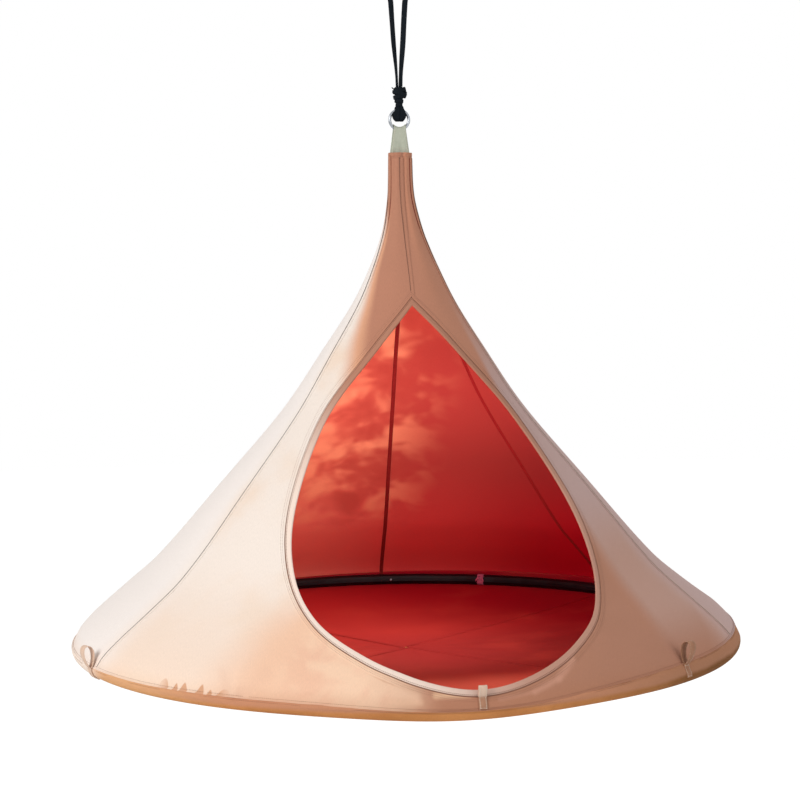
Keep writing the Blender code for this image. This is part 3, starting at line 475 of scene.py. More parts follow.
def make_lining():
    """The inside, with painted light through it: orange and dappled on one side, deep red on the other."""
    paint = Paint("lining", 0.9, shine=0.03)
    x, height = paint.part("X"), paint.height()
    middle, left = x.step(0.66, 0.16), x.step(0.20, -0.24)
    low = paint.mix(left, paint.mix(middle, (206, 14, 36), (236, 72, 70)), (255, 126, 108))
    high = paint.mix(left, paint.mix(middle, (136, 32, 34), (176, 59, 53)), (224, 102, 81))
    leaves = paint.noise(8.0, 2.2, 0.55, stretch=(1, 1, 1.3), twist=0.3)
    there = x.step(0.24, -0.04) * height.step(0.16, 0.30)
    # Painted light and shade: lighter low down and near the top, lighter on the left, with dapples of
    # painted light and shade there
    colour = paint.over(
        low,
        (height.step(0.10, 0.44), high),
        (height.step(0.76, 0.96), (244, 100, 82)),
        (leaves.step(0.54, 0.32) * there * 0.55, (176, 58, 50)),
        (leaves.step(0.45, 0.68) * there * 0.85, (252, 150, 112)),
    )
    return paint.weave(colour, paint.noise(12, 3.0), 0.0012, 0.5, (0.08, 0.05))


def make_base_cloth():
    """The underside's outer face: like the canvas at the base seam, golden brown and mottled below it."""
    paint = Paint("base_cloth", 0.85, shine=0.15)
    psi, height, mottle = paint.angle(), paint.height(), paint.noise(7, 4.0, 0.6)
    under = paint.mix(mottle.step(0.3, 0.7), (206, 136, 80), (224, 152, 92))
    # Painted shade: darker on the right side, in the band and below it
    right = psi.step(6.0, 44.0) * psi.step(179.0, 135.0)
    gold = paint.mix(right, under, paint.mix(mottle.step(0.3, 0.7), (126, 82, 44), (142, 94, 54)))
    upper = paint.mix(right, (206, 144, 110), (180, 128, 98))
    down = height + mottle * 0.010 + right * -0.010
    behind = psi.step(-170.0, -140.0)
    x, y = paint.part("X"), paint.part("Y")
    colour = paint.over(
        upper,
        (down.step(0.006, -0.006), gold),
        # Painted sunlight towards the left end, palest furthest left
        (psi.step(-36.0, -62.0) * behind * 0.6, (240, 188, 136)),
        (psi.step(-66.0, -76.0) * behind, (254, 236, 222)),
        ((x * x + y * y).math("SQRT").step(0.90, 0.84), under),
    )
    slack = paint.noise(26, 4.0, 0.55)
    return paint.weave(colour, slack, 0.0035, 0.55, (0.12, 0.06), pitch=0.0012, thread=(0.00014, 0.6))


def make_floor_cloth():
    """The floor's upper face, inside the tent: painted light makes it brightest at the front left."""
    paint = Paint("floor_cloth", 0.9, shine=0.03)
    x, y = paint.part("X"), paint.part("Y")
    toward = x * -1.0 + y * -0.6
    colour = paint.over(
        (146, 14, 26),
        (toward.step(-0.80, -0.10), (186, 58, 52)),
        (toward.step(-0.05, 0.55), (206, 82, 68)),
        # Painted shade in the middle, where the light from the doorway falls, and painted light at the far
        # and near edges
        (y.step(0.30, -0.06) * y.step(-0.47, -0.28) * 0.50, (96, 24, 26)),
        (y.step(0.28, 0.75) * 0.30, (214, 26, 50)),
        (y.step(-0.36, -0.54) * 0.85, (255, 118, 94)),
        (paint.noise(5, 3.0).step(0.45, 0.75) * 0.25, (202, 70, 56)),
    )
    return paint.weave(colour, paint.noise(9, 3.0), 0.003, 0.5, (0.08, 0.05))


def make_binding_tape():
    """The doorway's tape: painted sunlight makes it cream on the side that faces the key lamp and low down,
    tan towards the top and the right.
    """
    paint = Paint("binding_tape", 0.85, shine=0.15)
    height = paint.height()
    # Painted sunlight: the cream share, on the left and low down
    cream = paint.part("X").step(0.16, -0.22) * height.step(0.74, 0.40)
    plain = paint.mix(height.step(0.36, 0.66), (202, 154, 134), (190, 136, 112))
    ribs = paint.twill(*RIB)
    paint.speckle(paint.mix(cream, plain, (255, 234, 220)), ribs, 0.10, 0.04)
    paint.bump(ribs, 0.0002, 0.6)
    return paint.material


def make_tape(name, colour, other, ribs=RIB, rough=0.8, shine=0.2):
    """A woven tape or webbing with slanted ribs, or a thread."""
    paint = Paint(name, rough, sheen=0.05 if shine > 0.1 else 0.0, shine=shine)
    ribs = paint.twill(*ribs)
    paint.speckle(paint.mix(paint.noise(60, 3.0), colour, other), ribs, 0.22)
    paint.bump(ribs, 0.0002, 0.8)
    paint.bump(paint.noise(300, 2.0), 0.0002, 0.4)
    return paint.material


def make_metal(name, colour, rough):
    paint = Paint(name, rough, metallic=1.0)
    scuffs = paint.noise(120, 4.0, 0.6, stretch=(1, 1, 6))
    darker = (*[channel * 0.8 for channel in srgb(*colour)[:3]], 1)
    paint.colour(paint.mix(scuffs.step(0.3, 0.7), darker, colour))
    paint.roughness(scuffs, rough, rough + 0.16)
    paint.bump(scuffs, 0.00005, 0.4)
    return paint.material


def make_powder_coat():
    paint = Paint("powder_coat", 0.38, shine=0.3)
    worn = paint.noise(18, 4.0, 0.6)
    paint.colour(paint.mix(worn.step(0.35, 0.75), (10, 3, 7), (24, 12, 17)))
    paint.roughness(worn, 0.3, 0.5)
    paint.bump(paint.noise(700, 1.0), 0.00006, 0.5)
    return paint.material


make_camera()
make_studio()

CANVAS = make_canvas()
LINING = make_lining()
BASE_CLOTH = make_base_cloth()
FLOOR_CLOTH = make_floor_cloth()
BINDING = make_binding_tape()
SEAM_HIGHLIGHT_TAPE = make_tape("seam_highlight_tape", (240, 214, 196), (228, 196, 174))
DARK_WEBBING = make_tape("dark_webbing", (150, 38, 34), (120, 22, 24), WEBBING_RIB, shine=0.05)
LINING_TAPE = make_tape("lining_tape", (172, 40, 38), (156, 30, 32), shine=0.03)
COLLAR_WEBBING = make_tape("collar_webbing", (208, 212, 196), (188, 194, 174), COLLAR_RIB)
BLACK_WEBBING = make_tape("black_webbing", (8, 14, 20), (22, 30, 38), STRAP_RIB, 0.7, 0.1)
PINK_TAPE = make_tape("pink_tape", (208, 98, 126), (184, 78, 106))
LOOP_TAPE = make_tape("loop_tape", (190, 140, 110), (168, 120, 92))
DOOR_LOOP_TAPE = make_tape("door_loop_tape", (200, 150, 122), (184, 134, 106))
LIT_LOOP_TAPE = make_tape("lit_loop_tape", (250, 222, 202), (234, 196, 170))
THREAD = make_tape("thread", (244, 230, 214), (230, 210, 190), YARN_RIB)
BROWN_THREAD = make_tape("brown_thread", (160, 112, 90), (142, 98, 78), YARN_RIB)
DARK_THREAD = make_tape("dark_thread", (84, 64, 56), (70, 52, 46), YARN_RIB)
RED_THREAD = make_tape("red_thread", (150, 32, 32), (130, 24, 28), YARN_RIB, shine=0.03)
STEEL = make_metal("polished_steel", (158, 162, 168), 0.14)
ZINC = make_metal("zinc_plate", (176, 178, 182), 0.36)
BUTTON_STEEL = make_metal("button_steel", (150, 150, 156), 0.3)
POWDER_COAT = make_powder_coat()


# Cloth surface

# Turns round the tube at which the canopy and the floor leave it
CANOPY_LEAVES = math.radians(40)
FLOOR_LEAVES = math.radians(75)
TANGENT_H = WRAP_OUT * math.sin(CANOPY_LEAVES)
TANGENT_R = RING_R + WRAP_OUT * math.cos(CANOPY_LEAVES)
UP = np.array([0, 0, 1.0])
# Small tucks in the base seam: middle and spread round the tent
TUCKS = (-44.5, 7.5)
# A fan of folds that runs down to one place on the seam, left of the doorway, a ridge between valleys:
# its place, the cloth's radius and its depth there, then each fold's strength, direction and spread
FAN_PLACE, FAN_RADIUS, FAN_DEPTH = -37.5, 0.89, 0.0036
FAN_FOLDS = ((1.0, 0.10, 0.20), (-0.8, -0.38, 0.22), (-0.9, 0.72, 0.28), (0.4, 1.1, 0.14))
# Leaning folds: the crease right of the doorway, a bulge from the doorway's corner and one at the left.
# Depth, psi at a height, degrees per metre, that height and the spread, then each end's height and fade
LEANING_FOLDS = (
    (0.0034, 38.5, 21.6, 0.120, 2.6, (0.070, 0.06, 0.60, 0.20)),
    (0.0030, 24.0, 90.0, 0.115, 5.0, (0.030, 0.03, 0.17, 0.05)),
    (0.0022, -16.0, 120.0, 0.045, 3.2, (0.012, 0.02, 0.11, 0.05)),
)


class Curve:
    """The smooth curve that the part's source draws through points of rising x."""

    def __init__(self, knots):
        self.x, self.y = np.array(knots, float).T
        at = np.arange(len(knots))
        before, after = np.maximum(at - 1, 0), np.minimum(at + 1, len(knots) - 1)
        self.slope = (self.y[after] - self.y[before]) / (self.x[after] - self.x[before])

    def __call__(self, x):
        x = np.clip(x, self.x[0], self.x[-1])
        i = np.clip(np.searchsorted(self.x, x, side="right") - 1, 0, len(self.x) - 2)
        span = self.x[i + 1] - self.x[i]
        t = (x - self.x[i]) / span
        rise = self.slope[i] * span * (t**3 - 2 * t**2 + t)
        fall = self.slope[i + 1] * span * (t**3 - t**2)
        return self.y[i] * (2 * t**3 - 3 * t**2 + 1) + self.y[i + 1] * (3 * t**2 - 2 * t**3) + rise + fall


profile_curve = Curve(((TANGENT_H, TANGENT_R),) + PROFILE)


def soft(t):
    """0 up to 0, 1 from 1 on, and a soft step between."""
    t = np.clip(t, 0, 1)
    return t * t * (3 - 2 * t)


def bell(x):
    """1 at 0, falling away on both sides."""
    return np.exp(-(x**2))


def away_from(psi, place):
    """Degrees from a place round the tent, -180 to 180."""
    return (psi - place + 180) % 360 - 180


def hump(psi, place, spread):
    """1 at a place round the tent, falling away to 0 on both sides of it."""
    return bell(away_from(psi, place) / spread)


def between(h, low, low_fade, high, high_fade):
    return soft((h - low) / low_fade) * soft((high - h) / high_fade)


def cloth_radius(h):
    wrapped = RING_R + np.sqrt(np.maximum(WRAP_OUT**2 - np.minimum(h, TANGENT_H) ** 2, 0))
    return np.where(h < TANGENT_H, wrapped, profile_curve(h))


def cloth_slope(h, step=0.002):
    return (cloth_radius(h + step) - cloth_radius(h - step)) / (2 * step)


def panel_hollow(psi, h):
    share = np.clip((h - 0.08) / (1.05 - 0.08), 0, 1)
    total = np.zeros(np.broadcast(psi, h).shape)
    for i, start in enumerate(PANEL_SEAMS):
        span = (PANEL_SEAMS[(i + 1) % len(PANEL_SEAMS)] - start) % 360
        inside = (psi - start) % 360
        dip = PANEL_HOLLOWS[i] * np.sin(np.pi * inside / span) ** 2 * np.sin(np.pi * share**0.55)
        total = np.where(inside < span, dip, total)
    return total


def side_bend(h):
    return SIDE_BEND * bell((h - BEND_HEIGHT) / BEND_SPREAD) * soft((1.25 - h) / 0.15)


def seam_height(psi):
    return SEAM_HEIGHT + SEAM_LIFT * np.sin(np.radians(psi)) - SEAM_DIP * hump(psi, 0, SEAM_DIP_SPREAD)


def teeth(psi):
    """Small tucks along one stretch of the base seam, 0 to 1."""
    turn = np.radians(psi)
    wave = np.sin(150 * turn + 1.3 * np.sin(61 * turn + 1.0)) - 0.45 * np.sin(97 * turn)
    return soft((wave - 0.1) / 0.9) * hump(psi, *TUCKS)


def folds(psi, h):
    """How far the canopy stands out: its slack, gathers at the neck, puckers and folds at the base."""
    turn = np.radians(psi)
    slack = 0.0018 * np.sin(3 * turn + 5.1 * h + 0.7) * np.sin(2.2 * h + 1.0)
    slack = slack + 0.0010 * np.sin(7 * turn - 3.3 * h + 2.0)
    slack = slack + 0.0008 * np.sin(13 * turn + 6.5 * h + 4.0) * soft((0.8 - h) / 0.5)
    gathers = 0.0007 * np.sin(9 * turn + 0.5 + 2 * h) + 0.0005 * np.sin(16 * turn + 2.0)
    above = np.maximum(h - seam_height(psi), 0)
    edge = np.exp(-above / 0.020) * soft(above / 0.004)
    strength = 0.0004 + 0.0010 * hump(psi, -14, 14) + 0.0009 * hump(psi, 52, 16)
    ripple = np.sin(61 * turn + 1.5 * np.sin(11 * turn)) * (0.6 + 0.4 * np.sin(37 * turn + 1.0))
    puckers = strength * edge * ripple + 0.0026 * teeth(psi) * np.exp(-above / 0.016)
    arc = np.radians(away_from(psi, FAN_PLACE)) * FAN_RADIUS
    toward, reach = np.arctan2(arc, above + 0.012), np.hypot(arc, above)
    fan = sum(share * bell((toward - way) / spread) for share, way, spread in FAN_FOLDS)
    fan = FAN_DEPTH * fan * soft(reach / 0.030) * bell(reach / 0.080) * soft(above / 0.006)
    total = slack * soft((h - 0.05) / 0.12) + gathers * soft((h - 0.98) / 0.22) + puckers + fan
    for depth, place, slant, height, spread, ends in LEANING_FOLDS:
        total = total + depth * bell((psi - place - slant * (h - height)) / spread) * between(h, *ends)
    return total


def round_turns(step):
    """Angles round a full turn, a step in degrees apart."""
    return np.radians(np.arange(0, 360, step))


def points(x, y, z):
    """Points from their coordinates, each a number or an array."""
    return np.stack(np.broadcast_arrays(x, y, z), axis=-1)


def skin(psi, h, out=0.0, folded=True):
    """Points on the canopy's outer face, moved out along its normal."""
    psi, h = np.broadcast_arrays(np.asarray(psi, float), np.asarray(h, float))
    slope = cloth_slope(h)
    out = (out + (folds(psi, h) if folded else 0.0)) / np.hypot(1, slope)
    radius = cloth_radius(h) - panel_hollow(psi, h) + out
    depth = 1 - (1 - NECK_DEPTH_SHARE) * soft((h - 0.95) / 0.25)
    turn = np.radians(psi)
    x, y = radius * np.sin(turn) + side_bend(h), -radius * depth * np.cos(turn)
    return points(x, y, TUBE_Z + h - out * slope)


def skin_normal(psi, h):
    return unit(skin(psi, h, 1e-3, False) - skin(psi, h, 0.0, False))


def polar(psi, radius, h):
    turn = np.radians(psi)
    return points(radius * np.sin(turn), -radius * np.cos(turn), TUBE_Z + h)


def outward(psi):
    turn = np.radians(psi)
    return points(np.sin(turn), -np.cos(turn), 0.0)


def across_cloth(psi):
    """Level directions along the cloth, towards rising psi."""
    return outward(psi + 90)


def front_cloth(x, h, out):
    """Points of the front cloth straight behind (x, h), moved out along its normal."""
    psi = np.zeros(np.broadcast(x, h).shape)
    for _ in range(14):
        radius = cloth_radius(h) - panel_hollow(psi, h)
        psi = np.degrees(np.arcsin(np.clip((x - side_bend(h)) / radius, -0.98, 0.98)))
    return skin(psi, h, out), psi


# Meshes

# One stitch has an end, two rings of four points and the other end
STITCH_POINTS = 10
STITCH_FACES = (
    (0, 2, 1), (0, 3, 2), (0, 4, 3), (0, 1, 4), (1, 2, 6, 5), (2, 3, 7, 6), (3, 4, 8, 7), (4, 1, 5, 8),
    (9, 5, 6), (9, 6, 7), (9, 7, 8), (9, 8, 5),
)


def add_mesh(name, verts, faces, materials, uvs, indices=None):
    mesh = bpy.data.meshes.new(name)
    mesh.from_pydata(np.asarray(verts).reshape(-1, 3).tolist(), [], faces)
    mesh.uv_layers.new(name="UVMap").data.foreach_set("uv", np.asarray(uvs, np.float32).ravel())
    for material in materials:
        mesh.materials.append(material)
    if indices is not None:
        mesh.polygons.foreach_set("material_index", np.asarray(indices, np.int32))
    mesh.shade_smooth()
    return add_object(name, mesh)


def unit(vectors):
    return vectors / np.maximum(np.linalg.norm(vectors, axis=-1, keepdims=True), 1e-12)


def closed_line(line):
    return np.concatenate([line, line[:1]])


def lengths(grid, axis=0):
    """Running length along one axis of a line or grid of points."""
    total = np.cumsum(np.linalg.norm(np.diff(grid, axis=axis), axis=-1), axis=axis)
    return np.pad(total, [(int(a == axis), 0) for a in range(total.ndim)])


def grid_faces(rows, columns, wrap, offset=0, flip=False):
    """Quads of a grid of points, and each corner's (row, column), where a closing column counts on."""
    i, j = np.meshgrid(np.arange(rows - 1), np.arange(columns if wrap else columns - 1), indexing="ij")
    i, j = i.ravel(), j.ravel()
    corners = [(i, j), (i, j + 1), (i + 1, j + 1), (i + 1, j)]
    if flip:
        corners = corners[::-1]
    faces = np.stack([offset + r * columns + c % columns for r, c in corners], axis=1)
    return faces, np.stack([np.stack(corner, axis=1) for corner in corners], axis=1)


def panel_grain(u, starts):
    """Distances across the cloth, counted from the middle of each panel between the given columns."""
    count = u.shape[1] - 1
    left, right, whole = u[:, :-1].copy(), u[:, 1:].copy(), u[:, -1:]
    for first, last in zip(starts, list(starts[1:]) + [starts[0] + count]):
        columns = np.arange(first, last)
        centre = (first + last) // 2
        shift = whole * (columns >= count) - u[:, [centre % count]] - whole * (centre >= count)
        left[:, columns % count] += shift
        right[:, columns % count] += shift
    return left, right


def shell(name, outer, inner, materials, wrap=True, starts=(0,)):
    """A closed thin sheet between two grids of points; its UV map is its flat cut, in metres."""
    rows, columns = outer.shape[:2]
    back = rows * columns
    closed = np.concatenate([outer, outer[:, :1]], axis=1) if wrap else outer
    u, v = lengths(closed, 1), lengths(closed, 0)
    left, right = panel_grain(u, starts)
    face_a, place_a = grid_faces(rows, columns, wrap)
    face_b, place_b = grid_faces(rows, columns, wrap, back, flip=True)
    faces = face_a.tolist() + face_b.tolist()
    row, column = np.moveaxis(np.concatenate([place_a, place_b]), -1, 0)
    first = np.broadcast_to(column.min(axis=1, keepdims=True), column.shape)
    across = np.where(column == first, left[row, first], right[row, first])
    uvs = [np.stack([across, v[row, column]], axis=-1).reshape(-1, 2)]
    indices = [0] * len(face_a) + [1] * len(face_b)

    def close_edge(a, b, turned, place):
        faces.append((a, back + a, back + b, b) if turned else (a, b, back + b, back + a))
        uvs.append(np.array([place] * 4))
        indices.append(0)

    for i in (0, rows - 1):
        for j in range(columns if wrap else columns - 1):
            start = i * columns
            close_edge(start + j, start + (j + 1) % columns, i == 0, (left[i, j], v[i, j]))
    for j in () if wrap else (0, columns - 1):
        for i in range(rows - 1):
            start = i * columns + j
            close_edge(start, start + columns, j > 0, (u[i, j], v[i, j]))
    verts = np.concatenate([outer.reshape(-1, 3), inner.reshape(-1, 3)])
    return add_mesh(name, verts, faces, materials, np.concatenate(uvs), indices)


def loft(name, sections, material, closed=False):
    """A solid through equal closed sections; its UV map runs round each section and along the piece."""
    sections = np.asarray(sections, float)
    count, sides = sections.shape[:2]
    u = lengths(np.concatenate([sections, sections[:, :1]], axis=1), 1)
    line = sections.mean(axis=1)
    v = lengths(closed_line(line) if closed else line)
    faces, places = grid_faces(count + closed, sides, True)
    uvs = np.stack([u[places[..., 0] % count, places[..., 1]], v[places[..., 0]]], axis=-1).reshape(-1, 2)
    faces = (faces % (count * sides)).tolist()
    if not closed:
        faces.append(list(range(sides))[::-1])
        faces.append(list(range((count - 1) * sides, count * sides)))
        ends = np.concatenate([u[0, :sides], u[-1, :sides]])
        uvs = np.concatenate([uvs, np.stack([ends, 0 * ends], axis=1)])
    made = add_mesh(name, sections, faces, [material], uvs)
    face_out(made)
    made.data.set_sharp_from_angle(angle=math.radians(50))
    return made


def face_out(made):
    work = bmesh.new()
    work.from_mesh(made.data)
    bmesh.ops.recalc_face_normals(work, faces=work.faces)
    if work.calc_volume(signed=True) < 0:
        bmesh.ops.reverse_faces(work, faces=work.faces)
    work.to_mesh(made.data)
    work.free()


def ribbon(name, line, sides, normals, widths, thickness, material, closed=False, round_off=0.35):
    """A flat band along a line, with soft edges. sides point across it and normals out of its face."""
    line = np.asarray(line, float)
    sides, normals = unit(np.broadcast_to(sides, line.shape)), unit(np.broadcast_to(normals, line.shape))
    w = np.broadcast_to(np.asarray(widths, float), (len(line),)) / 2
    t = thickness / 2
    cut = min(thickness * round_off, 0.4 * float(w.min()))
    sections = []
    for a, b in ((-1, -1), (1, -1), (1, 1), (-1, 1)):
        near = [(a * (w - cut), b * t), (a * w, b * (t - cut))]
        for x, y in near if a * b < 0 else near[::-1]:
            sections.append(line + sides * x[:, None] + normals * y)
    return loft(name, np.stack(sections, axis=1), material, closed)


def resample(line, step, *others):
    """Points about a step apart along a line, and other values carried along with it."""
    line = np.asarray(line, float)
    along = lengths(line)
    at = np.linspace(0, along[-1], max(2, int(round(along[-1] / step)) + 1))

    def carry(values):
        values = np.broadcast_to(np.asarray(values, float), line.shape)
        return np.stack([np.interp(at, along, values[:, k]) for k in range(3)], axis=1)

    return [carry(line)] + [carry(other) for other in others]


def stitch_row(line, normals, pitch=0.0042, share=0.66, radius=0.00042):
    """The points of a row of single stitches along a line."""
    line, normals = resample(line, pitch, normals)
    starts, steps, ups = line[:-1], np.diff(line, axis=0), unit(normals)[:-1]
    side = unit(np.cross(unit(steps), ups))
    near, far = (starts + steps * (0.5 + way * share / 2) - ups * radius * 0.4 for way in (-1, 1))
    rings = [starts + steps * at + way * radius for at in (0.34, 0.66) for way in (side, ups, -side, -ups)]
    return np.stack([near, *rings, far], axis=1).reshape(-1, 3)


def add_stitches(name, rows, material, body, slot):
    verts = np.concatenate(rows)
    firsts = range(0, len(verts), STITCH_POINTS)
    faces = [tuple(first + v for v in face) for first in firsts for face in STITCH_FACES]
    along = np.arange(sum(map(len, faces))) * 0.0003
    made = add_mesh(name, verts, faces, [material], np.stack([along, 0 * along], axis=1))
    face_out(made)
    return on_body(made, body, slot)


def on_body(piece, body, slot, *nodes):
    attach(piece, body)
    if nodes:
        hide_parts(*nodes)
    return piece


def cut_with(target, tool):
    """Takes a solid out of a piece for good, and removes the solid."""
    boolean = target.modifiers.new("cut", "BOOLEAN")
    boolean.operation, boolean.solver, boolean.object = "DIFFERENCE", "EXACT", tool
    bpy.context.view_layer.update()
    depsgraph = bpy.context.evaluated_depsgraph_get()
    cut = bpy.data.meshes.new_from_object(target.evaluated_get(depsgraph))
    target.modifiers.clear()
    target.data = cut
    bpy.data.objects.remove(tool)


def join(parts, name):
    first = parts[0]
    with bpy.context.temp_override(active_object=first, selected_editable_objects=parts, object=first):
        bpy.ops.object.join()
    first.name = name
    return first


# Doorway

DOOR_STEPS = 12
# Sections as (distance out from the doorway's edge, height over the cloth): the folded tape, and the low
# ridge that the second fold of the hem makes
TAPE_SECTION = (
    (0.0000, 0.0004), (0.0006, 0.0017), (0.0024, 0.0024), (0.0050, 0.0019), (0.0105, 0.0017),
    (0.0126, 0.0013), (0.0130, 0.0004), (0.0128, -0.0018), (0.0070, -0.0031), (0.0024, -0.0036),
    (0.0004, -0.0024),
)
RIDGE_SECTION = (
    (0.0138, 0.0), (0.0155, 0.0007), (0.0172, 0.0009), (0.0255, 0.0008), (0.0272, 0.0), (0.02, -0.0006),
)
# Rows of stitches, on the tape and on the cloth outside it
DOOR_STITCHES = ((0.0108, 0.0018), (0.0195, 0.0004), (0.0235, 0.0004))
# The painted shadow line along the tape's outer edge
EDGE_SHADOW_LINE = (0.0142, 0.0006)


def door_half():
    """The right half of the doorway's edge, a smooth line through its outline's corners."""
    corners = [np.array(corner, float) for corner in DOOR_OUTLINE]
    chain = [2 * corners[0] - corners[1]] + corners + [corners[-2] * (-1, 1)]
    line = []
    for i in range(1, len(chain) - 2):
        p0, p1, p2, p3 = chain[i - 1 : i + 3]
        for t in np.arange(DOOR_STEPS) / DOOR_STEPS:
            bend = 2 * p0 - 5 * p1 + 4 * p2 - p3
            line.append(0.5 * (2 * p1 + (p2 - p0) * t + bend * t**2 + (3 * p1 - p0 - 3 * p2 + p3) * t**3))
    return np.array(line + [corners[-1]])


def door_loop_line(grow):
    """The doorway's outline moved outwards by grow, as a closed line of (x, h)."""
    right = door_half()
    loop = np.concatenate([right, right[1:-1][::-1] * (-1, 1)])
    first = unit(loop - np.roll(loop, 1, axis=0))
    second = unit(np.roll(loop, -1, axis=0) - loop)
    turn_first, turn_second = (np.stack([-way[:, 1], way[:, 0]], axis=1) for way in (first, second))
    mitre = unit(turn_first + turn_second)
    return loop + mitre * (grow / np.maximum((mitre * turn_first).sum(axis=1), 0.5))[:, None]


def round_door(grow, out):
    """A closed line of points round the doorway, the cloth's normals there, and the line as x and h."""
    x, h = closed_line(door_loop_line(grow)).T
    line, psi = front_cloth(x, h, out)
    return line, skin_normal(psi, h), x, h


def door_piece(name, section, material):
    columns = [round_door(grow, out)[0][:-1] for grow, out in section]
    return loft(name, np.stack(columns, axis=1), material, closed=True)


def make_binding():
    """Folded tape round the doorway's raw edge, with stitches on it and a second row on the cloth."""
    on_body(door_piece("door_binding_tape", TAPE_SECTION, BINDING), "tent", "binding", "door_binding")
    rows = [stitch_row(*round_door(*place)[:2], 0.0045, radius=0.0009) for place in DOOR_STITCHES]
    add_stitches("door_stitches", rows, BROWN_THREAD, "tent", "binding")
    # A dark ribbon of painted shadow where the tape's outer edge meets the cloth, strongest low down and on
    # the left
    line, normals, x, h = round_door(*EDGE_SHADOW_LINE)
    dark = np.maximum(soft((0.16 - x) / 0.30) * soft((0.50 - h) / 0.25), soft((0.10 - h) / 0.08))
    sides = unit(np.cross(unit(np.gradient(line, axis=0)), normals))
    widths = 0.0006 + 0.0020 * dark
    edge = ribbon("door_edge_shadow", line, sides, normals, widths, 0.0008, BROWN_THREAD)
    on_body(edge, "tent", "binding")
    on_body(door_piece("door_hem", RIDGE_SECTION, CANVAS), "tent", "canvas")


# Canopy

ROW_STEP = 0.0135
# Heights of the first rows over the base seam. Columns, close together at the puckers: start, end and step
LOW_ROWS = (0, 0.002, 0.005, 0.009, 0.014, 0.020, 0.028, 0.038, 0.050)
CANOPY_COLUMNS = ((0, 300, 0.75), (300, 348, 0.3), (348, 360, 0.75))
SEAM_WIDTH = 0.011
SEAM_RAISE = 0.0008
SEAM_STITCH = 0.0034
# How far outside the doorway's edge the canvas is cut, under the tape
DOOR_CUT = 0.006
# The left front seam swings aside below a height, by this angle at the base
SWUNG_SEAM, SWING, SWING_BELOW = 294, -4.2, 0.34
# Width of the painted shadow line at the folded edge, at the seams that show most, and at the others
FOLD_SHADOW_WIDTHS = {0: 0.0009, 60: 0.0030, 294: 0.0030}
OTHER_FOLD_SHADOW_WIDTH = 0.0010
# The neck hem's section, as (distance down, out)
HEM_SECTION = (
    (0, 0.0001), (0.0008, 0.0006), (0.0045, 0.0007),
    (HEM_HEIGHT - 0.0006, 0.0005), (HEM_HEIGHT + 0.0006, 0),
)
HEM_STITCH_DROPS = (0.0025, 0.0068)


def canopy_grid(out, psi):
    """Points of the canopy from the base seam to the neck, close together at the seam."""
    start = seam_height(psi)
    join_h = start + LOW_ROWS[-1]
    count = int((HEM_BOTTOM - 0.08) / ROW_STEP)
    rows = [start + step for step in LOW_ROWS]
    h = np.stack(rows + [join_h + (HEM_BOTTOM - join_h) * k / count for k in range(1, count + 1)])
    # The tucks hang a little over the seam
    over = teeth(psi)[None, :] * np.exp(-(h - start) / 0.005)
    grid = skin(psi[None, :], h, out + 0.0026 * over)
    grid[..., 2] -= 0.0110 * over
    return grid


def make_canopy():
    psi = np.concatenate([np.arange(start, end - 1e-6, step) for start, end, step in CANOPY_COLUMNS])
    starts = np.searchsorted(psi, PANEL_SEAMS).tolist()
    faces = [canopy_grid(out, psi) for out in (0.0, -CLOTH)]
    canopy = shell("canopy", *faces, [CANVAS, LINING], starts=starts)
    x, h = door_loop_line(DOOR_CUT).T
    tool = [points(x, y, TUBE_Z + h) for y in (-1.0, -0.03)]
    cut_with(canopy, loft("door_cutter", tool, CANVAS))
    return on_body(canopy, "tent", "canvas", *[f"canopy_panel_{i}" for i in range(1, 7)])


def seam_line(psi, low, out, shift=0.0):
    """A line up the canopy at a constant distance beside a seam, the cloth's normals and across it."""
    h = np.arange(low, HEM_BOTTOM, 0.01)
    swing = SWING * np.clip((SWING_BELOW - h) / SWING_BELOW, 0, 1) ** 2 if psi == SWUNG_SEAM else 0.0
    angle = psi + swing + np.degrees(shift / cloth_radius(h))
    return skin(angle, h, out), skin_normal(angle, h), across_cloth(angle)


def seam_band(name, psi, low, out, shift, width, thickness, material):
    line, normals, across = seam_line(psi, low, out, shift)
    on_body(ribbon(name, line, across, normals, width, thickness, material), "tent", "canvas")


